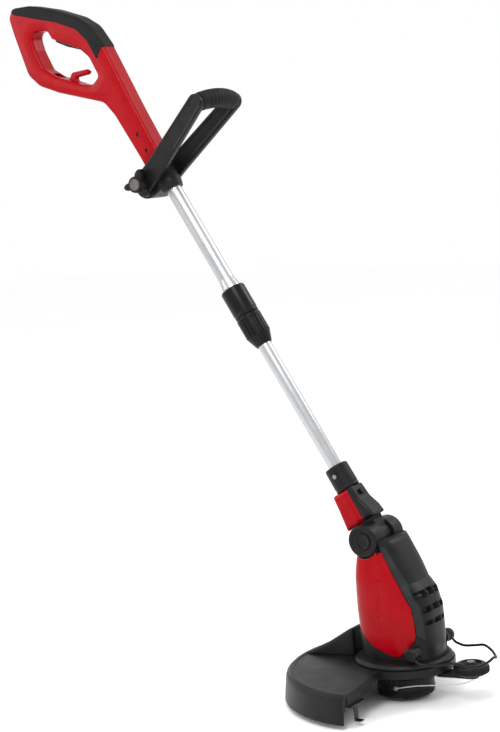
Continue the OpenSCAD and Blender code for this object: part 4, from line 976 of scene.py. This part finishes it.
def buildRearCover():
    # Red cover: the same surface between the V of its lower edge and the split, with a wall behind
    # it, edges that turn in, and a soft crease that falls from the drums to the tip of the V.
    h = housing
    t, c = np.meshgrid(roundSine(0, 1, 130), roundSine(0, 1, 240), indexing="ij")
    lower = [np.array(h["redLow"], float), np.array(h["redFront"], float)]

    def low(x):
        return np.interp(x, lower[0][:, 0], lower[0][:, 1]) + 0.3

    def first(z):
        return angleAt(z, np.interp(z, lower[1][:, 1], lower[1][:, 0]))

    x, y, z, angle = housingGrid(t, c, low, first, h["redTop"])
    rim = np.minimum(np.minimum(t, 1 - t) * 120, np.minimum(c, 1 - c) * 250)
    crease = np.interp(z, [70, 120, 180, 225], [12, 8, 6, -8])
    swell = 1.3 * smoothStep(np.abs(x - crease), 16, 0) * smoothStep(rim, 2, 12)
    outer = outward(x, y, z, bulge(rim, 1.2, 2.4) - 1.2 + swell)
    inner = outward(x, y, z, np.full(x.shape, -h["wall"]))
    rows, columns = x.shape
    faces = [list(f) for f in gridFaces(rows, columns)]
    count = rows * columns
    faces += [[v + count for v in f][::-1] for f in faces]
    index = np.arange(count).reshape(rows, columns)
    border = np.concatenate((index[0], index[1:, -1], index[-1, -2::-1], index[-2:0:-1, 0]))
    faces += [[a, b, b + count, a + count] for a, b in zip(border, np.roll(border, -1))]
    addPiece("rearCover", np.concatenate((outer.reshape(-1, 3), inner.reshape(-1, 3))), faces, "head",
             redAbs,
             ["rear_cover"], 50)


def buildPaintedChamferHighlight():
    # Painted highlight on the chamfer beside the split: a strip of lighter grey plastic on each side stands in for
    # the light the chamfer catches. Each strip is under a millimetre thick.
    h = housing
    z, k = np.meshgrid(np.linspace(h["highlightLow"], h["highlightHigh"], 120), np.linspace(0.04, 0.94, 12),
                       indexing="ij")
    split = np.interp(z, [f[1] for f in h["redFront"]], [f[0] for f in h["redFront"]])
    x = split + 0.4 + k * h["chamfer"]
    angle = angleAt(z, x)
    x, y = housingPoint(z, angle)
    rise = -0.6 + (0.6 + h["proud"] * smoothStep(x, 0, 22) * smoothStep(z, 70, 92)) * k
    edge = np.minimum(np.minimum(k - 0.04, 0.94 - k) * 9, np.minimum(z - h["highlightLow"], h["highlightHigh"] - z))
    parts = []
    for side in (1, -1):
        layers = []
        for lift in (0.15 + bulge(edge, 0.3, 0.8), np.full(z.shape, -0.35)):
            layers.append(outward(x, y, z, rise + lift).reshape(-1, 3) * (1, side, 1))
        rows, columns = z.shape
        count = rows * columns
        faces = [list(f) for f in gridFaces(rows, columns)]
        faces += [[v + count for v in f][::-1] for f in faces]
        index = np.arange(count).reshape(rows, columns)
        border = np.concatenate((index[0], index[1:, -1], index[-1, -2::-1], index[-2:0:-1, 0]))
        faces += [[a, b, b + count, a + count] for a, b in zip(border, np.roll(border, -1))]
        parts.append((np.concatenate(layers), faces))
    addPiece("paintedChamferHighlight", *joinParts(parts), "head", paintedHighlightStrip, (), 50)


baseFlange = {"profile": [[12, 58.05, 0], [73.5, 58.05, 0.4], [75, 59, 0.6], [75, 61.8, 0.7],
                          [72.6, 64.6, 1.2],
                          [69.5, 65.9, 1.0], [12, 65.9, 0]],
              "boss": 9.0, "bossFrom": 42.0, "bossTo": 51.6, "pinRadius": 4.0, "pinTo": 64.0,
              "wire": [46, 82]}


def buildBase():
    b = baseFlange
    middle = np.array((b["wire"][0], 0, b["wire"][1]))
    parts = [revolve(roundCorners(b["profile"], 4), 160)]
    for side in (-1, 1):
        stub = roundCorners([[0, b["bossFrom"], 0], [b["boss"], b["bossFrom"], 0],
                             [b["boss"], b["bossTo"], 1.2],
                             [b["pinRadius"], b["bossTo"], 0.3], [b["pinRadius"], b["pinTo"], 0.6],
                             [0, b["pinTo"], 0]], 4, False)
        points, faces = revolve(stub, 64, False)
        parts.append((middle + points[:, [0, 2, 1]] * (1, side, 1), faces))
    addPiece("baseFlange", *joinParts(parts), "head", blackPolypropylene, ["base_plate"])


guard = {"from": 98.0, "to": 270.0,
         "fan": [[76.5, 57.6, 0.4], [88, 57.2, 6], [168, 50.2, 3], [170.5, 51.6, 1.0], [175.5, 51.3, 1.0],
                 [177.5, 48.6, 1.5], [180.3, 47.6, 3.0], [182.2, 42, 6], [186, 8, 0.8], [183, 8, 0.8],
                 [178.6, 43, 5], [174, 45.6, 3], [88, 53.8, 4], [76.5, 53.4, 0.3]],
         "disc": [[16, 57.9, 0], [16, 55, 0], [75, 55, 0.5], [75, 46, 0.5], [77.9, 46, 0.6],
                  [77.9, 57.9, 0.4]],
         "rib": [[-178, 49, 3], [-128, 73, 60], [-84, 100, 16], [-76.2, 102, 2], [-76.2, 56, 1],
                 [-178, 46, 1]],
         "ribOut": 22.0, "ribIn": 11.0, "ribEdge": 5.0, "wall": 3.0,
         "end": [[77, 56.9, 0], [77, 48, 1], [171, 34, 4], [184.4, 8.8, 1], [178.5, 46.5, 2]],
         "block": [-14, -170, 14, 38, 32.0, 16.0]}


def buildGuard():
    # Fan with its skirt turned through its arc, the raised rib at the rear, and a wall under each
    # end.
    g = guard
    parts = [revolve(roundCorners(g["fan"], 5), 172, True, g["from"], g["to"] - g["from"]),
             revolve(roundCorners(g["disc"], 3), 160)]
    points, triangles, distance = fillOutline([roundCorners(g["rib"], 6)], 2.4, (0.3, 0.9, 1.8, 3.2, 4.8))
    half = g["ribIn"] + (g["ribOut"] - g["ribIn"]) * (points[:, 0] + 180) / 112
    high = half - g["ribEdge"] + bulge(distance, g["ribEdge"], g["ribEdge"])
    body, faces = thicken(points, triangles, -high, high)
    parts.append((body[:, [0, 2, 1]], faces))
    for turn in (g["from"] + 1.0, g["to"] - 1.0):
        points, triangles, distance = fillOutline([roundCorners(g["end"], 3)], 3.0, (0.4, 1.0))
        high = g["wall"] / 2 - 0.6 + bulge(distance, 0.6, 0.6)
        body, faces = thicken(points, triangles, -high, high)
        c, s = math.cos(math.radians(turn)), math.sin(math.radians(turn))
        parts.append((toWorld(body[:, [0, 2, 1]], (0, 0, 0), np.array((c, s, 0)), np.array((-s, c, 0)),
                              np.array((0, 0, 1))), faces))
    x, y, wide, long, z, high = g["block"]
    block = roundCorners([[x, y, 1], [x + wide, y, 1], [x + wide, y + long, 1], [x, y + long, 1]], 3)
    points, triangles, distance = fillOutline([block], 2.0, (0.4,))
    parts.append(thicken(points, triangles, np.full(len(points), z), np.full(len(points), z + high)))
    addPiece("guard", *joinParts(parts), "head", blackPolypropylene, ["guard"], 34, even=True)


spool = {"housing": [[0, 14.2, 0], [44.2, 14.2, 0.5], [44.5, 16, 0.5], [43.6, 17, 0.3], [43.6, 25.5, 0.4],
                     [44.2, 27, 0.6], [44.2, 34, 2], [41, 40, 4], [34, 42.4, 3], [13, 42.6, 1],
                     [12, 43.5, 0.5],
                     [12, 52, 0.4], [0, 52, 0]],
         "ribs": 36, "ribHeight": 0.75, "ribFrom": 26.5, "ribTo": 37.0,
         "cap": [[17.8, 3.2, 0.5], [38.5, 3.0, 3], [44.2, 7.5, 2.5], [44.5, 13, 0.5], [43.8, 13.9, 0.3],
                 [17.8, 13.9, 0]],
         "button": [[0, 0, 0], [13.8, 0, 0.8], [17, 3, 1.2], [17, 9.5, 0.3], [10.9, 9.5, 0],
                    [10.9, 13, 0.4],
                    [0, 13, 0]]}


def buildSpool():
    s = spool
    profile = resample(roundCorners(s["housing"], 4, False), 0.9, False)

    def ribbed(r, z, a):
        band = smoothStep(z, s["ribFrom"], s["ribFrom"] + 1.5) * smoothStep(z, s["ribTo"], s["ribTo"] - 2.5)
        return r + s["ribHeight"] * band * smoothStep(np.cos(a * s["ribs"]), 0.35, 0.85) * (r > 38)

    addPiece("spoolHousing", *revolve(profile, 432, False, change=ribbed), "rotor", blackPolypropylene,
             ["spool_housing"])
    capProfile = resample(roundCorners(s["cap"], 5), 1.0)

    def gripped(r, z, a):
        notch = smoothStep(np.cos(a * 6), 0.86, 0.95) * smoothStep(z, 5.5, 7.5) * smoothStep(z, 13.4, 12.4)
        return np.where(r > 40, r - 1.6 * notch, r)

    addPiece("spoolCap", *revolve(capProfile, 360, change=gripped), "rotor", blackNylon, ["spool_cap"])
    addPiece("tapButton", *revolve(roundCorners(s["button"], 4, False), 96, False), "reel",
             blackPolypropylene,
             ["tap_button"])


cuttingLine = {"radius": 0.8,
               "a": [[7.2, -41, 23], [8.2, -46.5, 23.2], [12, -50.5, 25], [25, -51, 28], [43, -43, 30],
                     [66, -26, 28.5], [96, -4, 27], [104, 23, 26]],
               "b": [[-7.2, 41, 23], [-8.2, 47, 22.8], [-7, 54, 20.5], [2, 59, 17.5], [14, 57, 15.5],
                     [28, 51, 15],
                     [52, 45, 18], [85, 42, 22]]}
bowWire = {"radius": 2.0, "pivot": [46, 60, 82],
           "half": [[53.3, 60, 74.7], [57, 59.5, 71.5], [63, 58, 69.5], [76, 55.5, 68], [96, 53, 71],
                    [112, 50, 73.5], [128, 42, 69], [142, 27, 65.5], [150, 12, 69], [152, 0, 72]],
           "boss": [[4.05, 52, 0], [9.9, 52, 0.8], [9.9, 61.5, 1.6], [7.5, 63.4, 0.8], [4.05, 63.4, 0.3]]}
guideWheel = {"middle": 114.0, "profile": [[3.6, 44, 0], [21, 44, 1], [26, 47, 1.5], [26, 55, 2.5],
                                           [23.8, 58.6, 2],
                                            [19, 61, 1.0], [16.5, 61, 0.8], [14.5, 57.5, 1.5],
                                           [9.5, 57.2, 1.0],
                                            [8, 60, 0.6], [3.6, 60, 0]],
              "ribs": 30, "ribHeight": 1.4,
              "arm": [[62, -14, 1], [72, -14, 8], [113, -11, 9], [125, -8, 8], [125, 8, 8], [113, 11, 9],
                      [72, 14, 8], [62, 14, 1]],
              "armLow": 38.0, "armHigh": 43.6}


def buildLines():
    c = cuttingLine
    parts = [sweep(smoothCurve(c[name], 8), circle(c["radius"], 12), (0.05, 0.02, 1)) for name in ("a",
                                                                                                   "b")]
    addPiece("cuttingLines", *joinParts(parts), "rotor", nylonLine, ["cutting_lines"], 60)


def buildBow():
    b = bowWire
    half = np.array(b["half"])
    route = np.vstack((half, (half * (1, -1, 1))[-2::-1]))
    addPiece("flowerGuard", *sweep(smoothCurve(route, 9), circle(b["radius"], 16), (0, 0.02, 1)), "bow",
             powderWire,
             ["flower_guard"], 60)
    parts = []
    for side in (-1, 1):
        points, faces = revolve(roundCorners(b["boss"], 4), 64)
        middle = np.array((b["pivot"][0], 0, b["pivot"][2]))
        parts.append((middle + points[:, [0, 2, 1]] * (1, side, 1), faces))
    addPiece("bowHubs", *joinParts(parts), "bow", blackPolypropylene, ["bow_hubs"])


def buildGuideWheel():
    w = guideWheel
    profile = resample(roundCorners(w["profile"], 4), 1.0)

    def ribbed(r, z, a):
        band = smoothStep(z, 46, 48) * smoothStep(z, 57.5, 55)
        return r + w["ribHeight"] * band * smoothStep(np.cos(a * w["ribs"]), -0.1, 0.7) * (r > 23)

    points, faces = revolve(profile, 360, change=ribbed)
    addPiece("guideWheel", points + (w["middle"], 0, 0), faces, "wheel", blackPolypropylene,
             ["guide_wheel"])
    points, triangles, distance = fillOutline([roundCorners(w["arm"], 5)], 2.0, (0.3, 0.9, 1.7))
    rounding = 1.2 - bulge(distance, 1.2, 1.2)
    arm = thicken(points, triangles, w["armLow"] + rounding, w["armHigh"] - rounding)
    block = roundCorners([[62, -14, 1], [72, -14, 2], [72, 14, 2], [62, 14, 1]], 3)
    points, triangles, distance = fillOutline([block], 2.0, (0.4,))
    root = thicken(points, triangles, np.full(len(points), w["armLow"] + 1), np.full(len(points), 54.8))
    addPiece("wheelArm", *joinParts([arm, root]), "head", blackPolypropylene, ["wheel_arm"], even=True)


setCamera()
addLamp("keyLamp", (0.6, -1.9, 2.6), (-0.2, 0, 0.5), 1.3, 42)
addLamp("fillLamp", (-2.4, -1.4, 1.6), (-0.2, 0, 0.5), 1.6, 20)
addLamp("rimLamp", (1.2, 1.8, 2.2), (-0.2, 0, 0.5), 1.2, 22)
bpy.context.scene.view_settings.view_transform = "Standard"
world = bpy.data.worlds.new("studio")
bpy.context.scene.world = world
world.use_nodes = True
world.node_tree.nodes["Background"].inputs["Color"].default_value = linear("#ffffff")
world.node_tree.nodes["Background"].inputs["Strength"].default_value = 1.0
print("camera and lamps set")

buildRearHandle()
buildSoftGrip()
buildTrigger()
print("rear handle built")
buildArms()
buildLoopGrip()
buildKnob()
print("loop handle built")
buildShaftParts()
buildNeckCollar()
buildNeck()
buildDrums()
print("shaft and neck built")
buildFrontShell()
buildRearCover()
buildPaintedChamferHighlight()
buildBase()
print("motor housing built")
buildGuard()
buildBow()
buildGuideWheel()
buildSpool()
buildLines()
print("guard and spool built")


# A CAD node that no finer piece replaces gets its slot's finish.
# The painted highlight strip shares the black plastic's slot, so it is kept out of this table.
slotMaterials = {m["slot"]: m for m in bpy.data.materials if "slot" in m and m != paintedHighlightStrip}
nodeSlots = {part["node"]: part["material_slot"] for part in frame["record"]["subparts"]}
for nodeName, cadObject in frame["nodes"].items():
    cadObject.data.materials.clear()
    cadObject.data.materials.append(slotMaterials[nodeSlots[nodeName]])

floorMesh = bpy.data.meshes.new("floor")
floorMesh.from_pydata([(-8, -8, -0.0005), (8, -8, -0.0005), (8, 8, -0.0005), (-8, 8, -0.0005)], [],
                      [(0, 1, 2, 3)])
floor = bpy.data.objects.new("floor", floorMesh)
bpy.context.scene.collection.objects.link(floor)
material, tree, surface, where = startMaterial("paleFloor", **{"Roughness": 0.9})
tree.links.new(blendColours(tree, noise(tree, where, 400), "#fbfbfb", "#ffffff"),
               surface.inputs["Base Color"])
floorMesh.materials.append(material)
